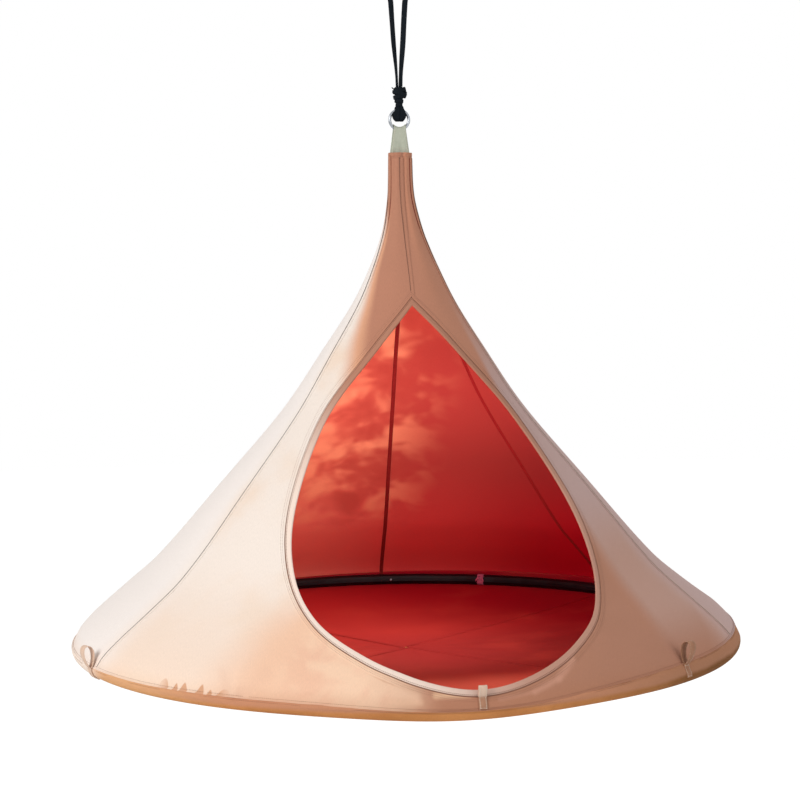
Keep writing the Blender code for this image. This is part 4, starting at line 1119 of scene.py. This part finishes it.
def make_canopy_seams():
    """Flat-felled seams outside, each with two rows of stitches and a dark ribbon of painted shadow at its
    folded edge.
    """
    sunlit_rows, shaded_rows, inner_rows = [], [], []
    for k, psi in enumerate(PANEL_SEAMS, 1):
        low = DOOR_OUTLINE[0][1] + 0.014 if psi == 0 else float(seam_height(psi)) + 0.004
        proud = 0.4 * SEAM_RAISE if psi == 0 else SEAM_RAISE
        seam_band(f"seam_strip_{k}", psi, low, proud / 2, 0.0, SEAM_WIDTH, proud, CANVAS)
        # Painted light: the stitches of the two seams on the sunlit side are pale thread, the others a
        # brown, shaded copy
        rows = sunlit_rows if psi in (240, 294) else shaded_rows
        for shift in (-SEAM_STITCH, SEAM_STITCH):
            line, normals, _ = seam_line(psi, low + 0.003, proud + 0.0001, shift)
            rows.append(stitch_row(line, normals, radius=0.0003))
        # A dark ribbon of painted shadow beside the folded edge
        side = -1 if psi > 180 or psi == 0 else 1
        dark = DARK_THREAD if psi in FOLD_SHADOW_WIDTHS else BROWN_THREAD
        width = FOLD_SHADOW_WIDTHS.get(psi, OTHER_FOLD_SHADOW_WIDTH)
        seam_band(f"seam_fold_shadow_{k}", psi, low, 0.0004, side * (0.0053 + width / 2), width, 0.0008, dark)
        # A pale strip of painted highlight along the seam's lip, at two seams
        if psi in (60, 126):
            seam_band(f"seam_lip_highlight_{k}", psi, low, 0.0006, side * (0.0063 + width), 0.0016, 0.0010, SEAM_HIGHLIGHT_TAPE)
        if psi in (0, 174):
            continue
        middle = -CLOTH - SEAM_RAISE / 2
        seam_band(f"inner_seam_{k}", psi, low, middle, 0.0, SEAM_WIDTH, SEAM_RAISE, LINING_TAPE)
        for shift in (-SEAM_STITCH, SEAM_STITCH):
            line, normals, _ = seam_line(psi, low + 0.003, -CLOTH - SEAM_RAISE - 0.0001, shift)
            inner_rows.append(stitch_row(line, -normals))
    add_stitches("seam_stitches_sunlit", sunlit_rows, THREAD, "tent", "canvas")
    add_stitches("seam_stitches_shaded", shaded_rows, BROWN_THREAD, "tent", "canvas")
    add_stitches("inner_seam_stitches", inner_rows, RED_THREAD, "tent", "canvas")


def make_neck_hem():
    """The turned-over top edge of the neck, with its stitches."""
    psi = np.arange(0, 360, 3.0)
    outer = np.stack([skin(psi, NECK_TOP - drop, out) for drop, out in HEM_SECTION])
    inner = np.stack([skin(psi, NECK_TOP - drop, -CLOTH - 0.0006) for drop, _ in HEM_SECTION])
    hem = shell("neck_hem_fold", outer, inner, [CANVAS, LINING])
    face_out(hem)
    on_body(hem, "tent", "canvas", "neck_hem")
    ring = np.append(psi, 360.0)
    rows = []
    for drop in HEM_STITCH_DROPS:
        h = NECK_TOP - drop
        rows.append(stitch_row(skin(ring, h, 0.0008), skin_normal(ring, h), 0.0036, radius=0.0003))
    add_stitches("neck_hem_stitches", rows, BROWN_THREAD, "tent", "canvas")


# Underside, floor and base seam

FLOOR_COLUMNS = 480
# Turns round the tube, in degrees, of the rows between the base seam and the floor
FIRST_TURN = -20
UNDER_TURNS = (-32, -44, -56, -68, -80)
# Rows of the floor, as shares of the way from the middle to the tube
FLOOR_PLACES = (0.965, 0.93, 0.88, 0.82, 0.75, 0.67, 0.59, 0.5, 0.41, 0.32, 0.23, 0.15, 0.08, 0.03, 0.004)
FLOOR_SEAM_SHIFT = 0.006
# Width and thickness of the tape over a floor seam, and its stitches' distance from its middle
FLOOR_TAPE = (0.011, 0.0009)
FLOOR_STITCH = 0.0035
# The base seam's roll, and its rows of stitches as (height over the seam, distance out)
ROLL_R = 0.0013
ROLL_STITCHES = ((0.0045, 0.0003), (-0.0045, 0.0012))


def edge_ripple(psi, t):
    """Crumples of the band below the base seam."""
    turn = np.radians(psi)
    wide = 0.0009 * (1 + np.sin(23 * turn + 2 * np.sin(5 * turn))) * np.sin(np.pi * min(t + 0.25, 1))
    return wide + 0.0005 * (1 + np.sin(71 * turn + 3 * t)) * (1 - t)


def floor_droop(psi):
    return DROOP * hump(psi, DROOP_PLACE, DROOP_SPREAD)


def floor_point(psi, place, upper):
    """Points on the floor cloth's upper or lower face: slack between its seams, and pulls to the middle."""
    turn = np.radians(psi)
    slack = 0.0040 * np.abs(np.sin(2 * (turn - math.radians(FLOOR_SEAMS[0]))))
    wrinkle = (0.0012 * np.sin(17 * turn + 5 * place) - slack) * np.sin(np.pi * place)
    fall = WRAP_IN * math.sin(FLOOR_LEAVES) + FLOOR_SAG * (1 - place**2)
    share = 0.9 * soft((place - 0.3) / 0.65) ** 2
    h = wrinkle - fall - floor_droop(psi) * share
    return polar(psi, place * RING_R, h if upper else h - CLOTH)


def base_column(psi, inner):
    """Rows of points from the base seam, round the tube and across the floor to its middle."""
    top, low = seam_height(psi) - GAP, WRAP_OUT * math.sin(math.radians(FIRST_TURN))
    ripple = 0.0 if inner else 1.0
    rows = []
    for t in np.linspace(0, 1, 9):
        out = -CLOTH if inner else edge_ripple(psi, t)
        rows.append(skin(psi, top + (low - top) * t, out, folded=False))
    radius = WRAP_IN if inner else WRAP_OUT
    for turn in UNDER_TURNS:
        share = soft((FIRST_TURN - turn) / 60)
        r = RING_R + radius * math.cos(math.radians(turn)) + ripple * edge_ripple(psi, 1.0) * (1 - share)
        rows.append(polar(psi, r, radius * math.sin(math.radians(turn)) - floor_droop(psi) * share))
    return np.stack(rows + [floor_point(psi, place, inner) for place in FLOOR_PLACES])


def make_floor_piece():
    psi = np.arange(FLOOR_COLUMNS) * 360 / FLOOR_COLUMNS
    starts = [seam * FLOOR_COLUMNS // 360 for seam in FLOOR_SEAMS]
    faces = [base_column(psi, inner) for inner in (False, True)]
    cloth = shell("floor_and_base", *faces, [BASE_CLOTH, FLOOR_CLOTH], starts=starts)
    face_out(cloth)
    return on_body(cloth, "tent", "floor_cloth", *[f"floor_panel_{i}" for i in range(1, 5)])


def make_floor_seams():
    rows = []
    place = np.linspace(0.012, 0.94, 60)
    for k, psi in enumerate(FLOOR_SEAMS, 1):
        across = across_cloth(psi)
        for name, upper, tape in (("floor_seam", True, FLOOR_CLOTH), ("under_seam", False, BASE_CLOTH)):
            up = UP if upper else -UP
            line = floor_point(psi, place, upper) + across * FLOOR_SEAM_SHIFT + up * 0.0004
            on_body(ribbon(f"{name}_{k}", line, across, up, *FLOOR_TAPE, tape), "tent", "floor_cloth")
        for offset in (-FLOOR_STITCH, FLOOR_STITCH):
            line = floor_point(psi, place, True) + across * (FLOOR_SEAM_SHIFT + offset) + UP * 0.0009
            rows.append(stitch_row(line, UP, 0.005))
    add_stitches("floor_stitches", rows, RED_THREAD, "tent", "floor_cloth")


def make_piping():
    """The base seam's rolled edge, and the row of stitches over it."""
    psi = np.arange(0, 360, 1.5)
    h = seam_height(psi)
    normals, centre = skin_normal(psi, h), skin(psi, h, 0.0009)
    up = unit(np.cross(normals, across_cloth(psi)))
    sections = [centre + ROLL_R * (normals * math.cos(t) + up * math.sin(t)) for t in round_turns(45)]
    roll = loft("base_seam_roll", np.stack(sections, axis=1), CANVAS, closed=True)
    on_body(roll, "tent", "binding", "base_piping")
    ring = np.append(psi, 360.0)
    rows = []
    for lift, out in ROLL_STITCHES:
        h = seam_height(ring) + lift
        rows.append(stitch_row(skin(ring, h, out, folded=lift > 0), skin_normal(ring, h), 0.0048))
    add_stitches("base_seam_stitches", rows, BROWN_THREAD, "tent", "binding")


# Webbings inside, tube ties

# Name, psi, side of the neck and lowest height
INNER_WEBBINGS = (("back_webbing", 174, 1, 0.010), ("front_webbing", 0, -1, 0.921))
INNER_WIDTH, INNER_THICK, INNER_STITCH = 0.011, 0.0013, 0.0038
# Drops below the neck's top where a webbing lies along the collar's leg
LEG_DROPS = (0.016, 0.036, 0.058)
TIE_WIDTH, TIE_THICK, TIE_GAP = 0.020, 0.0012, 0.0010
# First and last turn round the tube that a tie covers, and the step between
TIE_TURNS = (75, 243, 8.0)
# The solids' cloth and tubes are flat across this many degrees between their corners
FACET = 6


def make_inner_webbings():
    for name, psi, side, lowest in INNER_WEBBINGS:
        h = np.arange(1.12, lowest, -0.012)
        leg = COLLAR_OUT_Y + GAP + 0.0012
        upper = [(0, side * leg, TUBE_Z + NECK_TOP - drop) for drop in LEG_DROPS]
        line = np.concatenate([upper, skin(psi, h, -CLOTH - 0.0016)])
        normals = np.concatenate([np.tile([0, side, 0], (3, 1)), skin_normal(psi, h)])
        line, normals = resample(line, 0.01, normals)
        across = across_cloth(psi)
        band = ribbon(f"{name}_band", line, across, normals, INNER_WIDTH, INNER_THICK, DARK_WEBBING)
        on_body(band, "tent", "dark_webbing", name)
        rows = []
        for shift in (-INNER_STITCH, INNER_STITCH):
            row = line + across * shift - unit(normals) * 0.0008
            rows.append(stitch_row(row[4:], -normals[4:], 0.005))
        add_stitches(f"{name}_stitches", rows, RED_THREAD, "tent", "dark_webbing")


def make_ties():
    """Tape over the tube, sewn to the cloth above and below, with a small knot on the inside."""
    t, s = round_turns(24), np.linspace(0.2, 1, 7)
    # Lines given across the tie, along it and out of it
    knot_line = points(0.0075 * np.cos(t), 0.0055 * np.sin(t), 0.001 * np.sin(2 * t))
    tails = [points(reach * s, -0.010 * s * s, 0.002 * np.sin(3 * s)) for reach in (-0.013, 0.013)]
    for name, psi in LOOP_PLACES.items():
        across = across_cloth(psi)
        centre = polar(psi, RING_R * math.cos(math.radians(FACET / 2)), 0.0)
        angles = np.radians(np.arange(*TIE_TURNS))[:, None]
        rays = outward(psi) * np.cos(angles) + UP * np.sin(angles)
        line = centre + rays * (TUBE_R + TIE_GAP)
        tie = ribbon(f"tube_tie_{name}", line, across, rays, TIE_WIDTH, TIE_THICK, PINK_TAPE)
        on_body(tie, "tent", "pink_tape", f"ring_tie_{name}")
        ray = rays[len(rays) // 2]
        middle, up = centre + ray * (TUBE_R + 0.0042), np.cross(across, ray)
        ways = np.stack([across, up, ray])
        ring = knot_line @ ways
        knot = f"tube_tie_knot_{name}"
        knot = ribbon(knot, middle + ring, ray, unit(ring), 0.006, 0.0022, PINK_TAPE, closed=True)
        on_body(knot, "tent", "pink_tape")
        for letter, tail in zip("ab", tails):
            line = middle + tail @ ways
            strip = ribbon(f"tube_tie_tail_{name}_{letter}", line, up, ray, 0.008, 0.0011, PINK_TAPE)
            on_body(strip, "tent", "pink_tape")


# Tape loops

# Height, bulge, width and tail of each loop
LOOP_SIZES = {name: (LOOP_HEIGHT, LOOP_BULGE, LOOP_TAPE_WIDTH, TAB_LENGTH) for name in LOOP_PLACES}
LOOP_SIZES["door"] = (DOOR_LOOP_HEIGHT, DOOR_LOOP_BULGE, DOOR_LOOP_WIDTH, DOOR_TAB_LENGTH)
LOOP_TWIST = {"right": 10, "back": -10, "left": -10, "door": 0}
TAIL_POINTS = 12
TAIL_STITCH = (0.0036, 0.75)
# Distances of the stitches from the tape's edges, and the threads' radii
LOOP_INSET, TAIL_INSET = 0.0026, 0.0030
THICK_THREAD, TAIL_THREAD, THIN_THREAD = 0.0011, 0.0006, 0.0004


def tape_top(name):
    """The direction in which a loop stands, in degrees, and the height of its tail's top."""
    if name == "door":
        return 0.0, DOOR_OUTLINE[-1][1] - BINDING_WIDTH - 2 * GAP
    psi = float(LOOP_PLACES[name])
    return psi, float(seam_height(psi)) - PIPING_R - 2 * GAP


def tab_radius(psi, h):
    """Radius of the sewn tab's middle."""
    flatter = 1.0 if psi % FACET == 0 else math.cos(math.radians(FACET / 2))
    return cloth_radius(h) * flatter + (TAB_GAP + LOOP_TAPE_THICK) * np.hypot(1, cloth_slope(h))


def make_loops():
    for name, (height, bulge, width, tail) in LOOP_SIZES.items():
        psi, top = tape_top(name)
        out, across = outward(psi), across_cloth(psi)
        root = polar(psi, tab_radius(psi, top) + LOOP_LEAN_START, top + GAP + LOOP_TAPE_THICK / 2)
        t = round_turns(9)
        share = (1 - np.cos(t)) / 2
        up = height * share
        wide = bulge / 2 * np.sin(t) * (0.45 + 0.55 * share)
        line = root + UP * up[:, None] + out * (wide + LOOP_LEAN * up)[:, None]
        normals = unit(np.cross(across, np.roll(line, -1, axis=0) - np.roll(line, 1, axis=0)))
        # The tape twists a little towards the top of the loop
        twist = math.radians(LOOP_TWIST[name]) * soft(share)
        sides = across * np.cos(twist)[:, None] + out * np.sin(twist)[:, None]
        # Painted light: the left loop and the door loop get a pale, lit copy of the tape
        tape = LIT_LOOP_TAPE if name in ("left", "door") else LOOP_TAPE
        size = (width * 0.97, LOOP_TAPE_THICK)
        band = ribbon(f"tape_loop_{name}", line, sides, normals, *size, tape, closed=True)
        on_body(band, f"loop_{name}", "loop_tape", "door_loop" if name == "door" else f"rim_loop_{name}")
        rows = []
        for shift in (LOOP_INSET - width / 2, width / 2 - LOOP_INSET):
            row = line + sides * shift + normals * LOOP_TAPE_THICK * 0.55
            thread = THICK_THREAD if name == "door" else THIN_THREAD
            rows.append(stitch_row(closed_line(row), closed_line(normals), 0.004, radius=thread))
        add_stitches(f"tape_loop_stitches_{name}", rows, THREAD, f"loop_{name}", "loop_tape")
        make_tail(name, width, DOOR_LOOP_TAPE if name == "door" else tape, tail)


def make_tail(name, width, tape, length):
    """The loop's tail, sewn flat to the cloth with white stitches."""
    psi, top = tape_top(name)
    h = np.linspace(top, top - length, TAIL_POINTS)
    line = polar(psi, tab_radius(psi, h) + LOOP_LEAN_START * np.linspace(1, 0, TAIL_POINTS) ** 4, h)
    normals, across = skin_normal(psi, h), across_cloth(psi)
    size = (width, 2 * LOOP_TAPE_THICK)
    piece = ribbon(f"tape_tail_{name}", line, across, normals, *size, tape, round_off=0.3)
    on_body(piece, "tent", "loop_tape", f"loop_tab_{name}")
    edges = [line + across * way * (width / 2 - TAIL_INSET) + normals * 0.0015 for way in (-1, 1)]
    thread = THICK_THREAD if name == "door" else TAIL_THREAD
    rows = [stitch_row(edge, normals, *TAIL_STITCH, thread) for edge in edges]
    for k in (1, TAIL_POINTS - 2):
        rows.append(stitch_row([edge[k] for edge in edges], normals[[k, k]], *TAIL_STITCH, TAIL_THREAD))
    add_stitches(f"tape_tail_stitches_{name}", rows, THREAD, "tent", "loop_tape")


# Collar and steel ring

COLLAR_HOLE_R = STEEL_RING_R - STEEL_BAR_R - 2 * GAP
COLLAR_STITCH_Y = COLLAR_OUT_Y + 0.0002
# Rows of stitches across a leg: their drops below the fold
COLLAR_CROSS_DROPS = (0.050, 0.057)


def collar_half_width(z):
    """The collar spreads from the ring down to what fits in the neck."""
    depth = NECK_R * NECK_DEPTH_SHARE - CLOTH
    inside = (NECK_R - CLOTH) * math.sqrt(1 - (COLLAR_OUT_Y / depth) ** 2) - GAP
    widest = min(COLLAR_NECK_WIDTH / 2, inside) - 0.0012
    share = np.clip((COLLAR_AXIS_Z - z) / COLLAR_TO_NECK, 0, 1)
    return COLLAR_TOP_WIDTH / 2 + (widest - COLLAR_TOP_WIDTH / 2) * share


def collar_row(side, drop, extra):
    """Points across one leg, a drop below the fold: outside, the leg has a soft fold down its middle."""
    shares = np.linspace(-1, 1, 15)
    z = COLLAR_AXIS_Z - drop
    ease = soft(drop / 0.03) * (1 if drop <= COLLAR_TO_NECK else 0.3) if extra else 0.0
    shape = 0.0004 * np.sin(9 * shares + 60 * drop) - 0.0012 * bell(shares / 0.16)
    y = side * (COLLAR_LEG_Y + extra + shape * ease)
    return points(shares * collar_half_width(z), y, z)


def collar_crest(turn, extra):
    """Points across the collar where it folds over the ring's lower bar."""
    x = np.linspace(-1, 1, 15) * COLLAR_TOP_WIDTH / 2
    saddle = STEEL_RING_R - np.sqrt(COLLAR_HOLE_R**2 - x**2)
    reach = saddle + (COLLAR_LEG_Y - saddle) * (abs(turn) / 90) ** 2 + extra
    t = math.radians(turn)
    return points(x, reach * math.sin(t), COLLAR_AXIS_Z + reach * math.cos(t))


def make_collar():
    """Webbing folded over the ring's lower bar, with stitched edges."""
    drops = [*np.linspace(0.006, COLLAR_TO_NECK, 9), COLLAR_TO_NECK + 0.02, COLLAR_TO_NECK + 0.04]
    grids = []
    for extra in (COLLAR_THICK, 0.0):
        rows = [collar_row(-1, drop, extra) for drop in reversed(drops)]
        rows += [collar_crest(turn, extra) for turn in np.linspace(-90, 90, 19)]
        grids.append(np.array(rows + [collar_row(1, drop, extra) for drop in drops]))
    collar = shell("collar_band", *grids, [COLLAR_WEBBING, COLLAR_WEBBING], wrap=False)
    face_out(collar)
    on_body(collar, "tent", "collar", "collar_webbing")
    rows = []
    for side in (-1, 1):
        lines = []
        for share in (-0.86, 0.86):
            z = np.linspace(COLLAR_AXIS_Z - 0.004, COLLAR_AXIS_Z - COLLAR_TO_NECK - 0.004, 12)
            lines.append((share * collar_half_width(z), z))
        for drop in COLLAR_CROSS_DROPS:
            z = COLLAR_AXIS_Z - drop
            lines.append((np.array([-0.84, 0.84]) * collar_half_width(z), z))
        rows += [stitch_row(points(x, side * COLLAR_STITCH_Y, z), (0, side, 0), 0.0034) for x, z in lines]
    add_stitches("collar_stitches", rows, THREAD, "tent", "collar")


def make_steel_ring():
    """The ring, with the slight swell of its weld."""
    around, bar = round_turns(5), round_turns(22.5)
    sections = []
    for a, swell in zip(around, 1 + 0.10 * bell((around - math.radians(100)) / 0.09)):
        reach = STEEL_RING_R + STEEL_BAR_R * swell * np.cos(bar)
        y = STEEL_BAR_R * swell * np.sin(bar)
        sections.append(points(reach * math.sin(a), y, RING_CENTRE_Z + reach * math.cos(a)))
    on_body(loft("steel_ring_round", sections, STEEL, closed=True), "ring", "steel", "steel_ring")


# Strap

WEBBING_THICK = 0.0034
# From the plane between the strap's two layers to the middle of each
STRAP_LAYER = (STRAP_THICK + 2 * GAP) / 2
X_WAY = np.array([1.0, 0.0, 0.0])
# How far each strand twists in its middle and above the knot, and how far it is drawn in there
MIDDLE_TWIST, KNOT_TWIST, KNOT_DRAW = math.radians(24), math.radians(60), 0.0030
# Rows of stitches across the sewn eye: their drops below the bolt, and half their length
EYE_STITCH_DROPS = (0.025, 0.031, 0.037, 0.043)
EYE_STITCH_REACH = 0.0055
# Sections of the knot: share of the way down, width, depth and sideways shift
KNOT_SECTIONS = (
    (0.00, 0.019, 0.013, 0.000), (0.08, 0.027, 0.018, -0.001), (0.25, 0.030, 0.022, 0.001),
    (0.42, 0.028, 0.023, 0.002), (0.60, 0.022, 0.021, 0.000), (0.80, 0.018, 0.019, 0.000),
    (1.00, 0.020, 0.022, 0.000),
)
# Drop below the knot's top, sideways shift, half width, half depth, slant, height of the band
KNOT_WRAPS = (
    (0.010, 0.001, 0.0165, 0.0115, 0.30, 0.011), (0.018, 0.002, 0.0170, 0.0122, -0.42, 0.012),
    (0.026, 0.001, 0.0150, 0.0118, 0.22, 0.011), (0.038, 0.000, 0.0104, 0.0108, -0.12, 0.010),
)
# A folded end at the knot's upper left, and the middle of a loop's lobe at its right
KNOT_NUB = ((-0.011, -0.004, -0.010), (-0.016, -0.005, -0.005), (-0.0195, -0.005, -0.0035))
KNOT_LOBE = np.array([0.009, -0.003, KNOT_TOP_Z - 0.017])


def strand_route(side):
    """The strand from the bolt's front down to the knot, and the sewn eye over the bolt."""
    eye = PIN_R + GAP + STRAP_THICK / 2
    top_x, low_x = side * STRAND_SPREAD / 2, side * STRAND_MEET / 2
    eye_z = PIN_Z - EYE_TAIL
    sewn = [(top_x, STRAP_LAYER + 0.001, PIN_Z - 0.020), (top_x, STRAP_LAYER, eye_z)]
    t = np.linspace(0.9, 0, 10)
    z = KNOT_TOP_Z + (eye_z - KNOT_TOP_Z) * t
    x = low_x + (top_x - low_x) * ((z - KNOT_TOP_Z) / STRAND_LENGTH) ** 1.25
    bottom = points(x, -STRAP_LAYER * soft((t - 0.7) / 0.25), z)
    down = np.concatenate([[(top_x, -eye, PIN_Z)], np.array(sewn) * (1, -1, 1), bottom])
    turns = np.radians(np.arange(4, 201, 14))
    over = np.concatenate([points(top_x, -eye * np.cos(turns), PIN_Z + eye * np.sin(turns)), sewn])
    return resample(down, 0.006)[0], resample(over, 0.003)[0]


def face_normals(line):
    return unit(np.cross(unit(np.gradient(line, axis=0)), X_WAY))


def make_strap():
    knot = make_knot()
    bights = [make_bight(side) for side in (-1, 1)]
    for name, side in (("left", -1), ("right", 1)):
        fine, over = strand_route(side)
        share = np.linspace(0, 1, len(fine))
        near = soft((share - 0.55) / 0.4)
        fine[:, 0] -= side * KNOT_DRAW * near
        twist = side * (MIDDLE_TWIST * np.sin(np.pi * share) ** 2 + KNOT_TWIST * near)[:, None]
        normals = face_normals(fine)
        sides = X_WAY * np.cos(twist) + normals * np.sin(twist)
        normals = normals * np.cos(twist) - X_WAY * np.sin(twist)
        webbing = (STRAP_WIDTH, WEBBING_THICK, BLACK_WEBBING)
        strand = ribbon(f"strap_strand_{name}", fine, sides, normals, *webbing)
        on_body(strand, "strap", "strap", f"strap_{name}")
        eye = ribbon(f"strap_eye_{name}", over, X_WAY, face_normals(over), *webbing)
        on_body(eye, "strap", "strap")
        rows = []
        ends = [side * STRAND_SPREAD / 2 + x for x in (-EYE_STITCH_REACH, EYE_STITCH_REACH)]
        for drop in EYE_STITCH_DROPS:
            for way in (-1, 1):
                line = [(x, way * 0.0042, PIN_Z - drop) for x in ends]
                rows.append(stitch_row(line, (0, way, 0), 0.003))
        stitches = add_stitches(f"strap_eye_stitches_{name}", rows, DARK_THREAD, "strap", "strap")
        pieces = [eye, stitches] + ([knot] + bights if side < 0 else [])


def make_knot():
    """The strap's knot: a bundle with crossing turns of webbing, and a nub and a lobe at its sides."""
    turns = round_turns(18)
    sections = []
    for share, width, depth, shift in KNOT_SECTIONS:
        z = KNOT_TOP_Z - GAP - share * (KNOT_HEIGHT - 2 * GAP)
        sections.append(points(shift + width / 2 * np.cos(turns), depth / 2 * np.sin(turns), z))
    parts = [loft("strap_knot_turns", sections, BLACK_WEBBING)]
    t = round_turns(15)
    outs = points(np.cos(t), np.sin(t), 0.0)
    for drop, shift, half_x, half_y, slant, height in KNOT_WRAPS:
        x = half_x * np.cos(t)
        line = points(shift + x, half_y * np.sin(t), KNOT_TOP_Z - drop + slant * x)
        parts.append(ribbon("wrap", line, (-slant, 0, 1), outs, height, 0.0032, BLACK_WEBBING, closed=True))
    nub = resample(np.array(KNOT_NUB) + UP * KNOT_TOP_Z, 0.0015)[0]
    parts.append(ribbon("nub", nub, (0, 1, 0.3), (-0.4, -0.2, 1), 0.010, 0.0045, BLACK_WEBBING))
    t = np.linspace(0.2, 2.9, 10)
    lobe = points(0.010 * np.sin(t), 0.0, 0.007 * np.cos(t))
    parts.append(ribbon("lobe", KNOT_LOBE + lobe, (0, 1, 0), lobe, 0.013, 0.0036, BLACK_WEBBING))
    return on_body(join(parts, "strap_knot_turns"), "strap", "strap", "strap_knot")


def bight_stations():
    """Stations from the knot, under the ring's top bar and back up.

    Each is the inner and the outer face's (y, z) from the ring's middle, and the half width at each.
    """
    inside = STEEL_BAR_R + GAP + 0.0011
    layer = 2 * STRAP_THICK
    bar_z = math.sqrt(STEEL_RING_R**2 - BIGHT_REACH**2)
    top = KNOT_BOTTOM_Z - RING_CENTRE_Z - GAP
    legs = ((top, 0.0024, 0.0094), (top - 0.004, 0.0036, 0.0104), (top - 0.008, inside - 0.0002, 0.0115))
    front, back = (
        [((way * y, z), (way * (y + layer), z), reach, reach) for z, y, reach in legs] for way in (-1, 1)
    )
    under = []
    for turn in range(0, 181, 10):
        t = math.radians(turn)
        s, c = math.sin(t), math.cos(t)
        swell = math.sin(2 * t) ** 2
        outer = (-(inside + layer) * c, bar_z - (inside + layer + BIGHT_BUNCH * s**2) * s)
        width = BIGHT_REACH + 0.0035 * swell - 0.005 * s**6
        under.append(((-inside * c, bar_z - inside * s), outer, BIGHT_REACH - 0.001 * s, width))
    return front + under + back[::-1]


def make_bight(side):
    """Three layers of bunched webbing round the ring's top bar."""
    parts = []
    for k in range(3):
        a, b = k / 3, (k + 0.9) / 3
        # Share of the way out, start, swell and setback of each corner of the layer
        corners = ((a, 0.0006, 1.0, 0.0004), ((a + b) / 2, 0.0002, 1.02, 0.0), (b, 0.0006, 1.0, 0.0004))
        sections = []
        for inner, outer, inner_x, outer_x in bight_stations():
            far, near = [], []
            for share, start, swell, setback in corners:
                y, z = (i + (o - i) * share for i, o in zip(inner, outer))
                reach = (inner_x + (outer_x - inner_x) * share) * swell - setback
                far.append((side * reach, y, RING_CENTRE_Z + z))
                near.append((side * start, y, RING_CENTRE_Z + z))
            sections.append(far + near[::-1])
        parts.append(loft("bight", sections, BLACK_WEBBING))
    name = "left" if side < 0 else "right"
    return on_body(join(parts, f"strap_fold_{name}"), "strap", "strap", f"strap_bight_{name}")


# Solids that keep their shape

SOLID_FINISHES = {
    POWDER_COAT: [f"ring_tube_{i}" for i in range(1, 7)],
    BUTTON_STEEL: [f"{name}_{i}" for name in ("snap_button", "button_spring") for i in range(1, 7)],
    ZINC: ["ceiling_bracket", "hanger_bolt", "hanger_nut"],
}


def dress_solids():
    for material, names in SOLID_FINISHES.items():
        for name in names:
            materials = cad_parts[name].data.materials
            materials.clear()
            materials.append(material)


canopy = make_canopy()
make_canopy_seams()
make_neck_hem()
make_binding()
floor_cloth = make_floor_piece()
make_floor_seams()
make_piping()
make_inner_webbings()
make_ties()
make_loops()
make_collar()
make_steel_ring()
make_strap()
dress_solids()
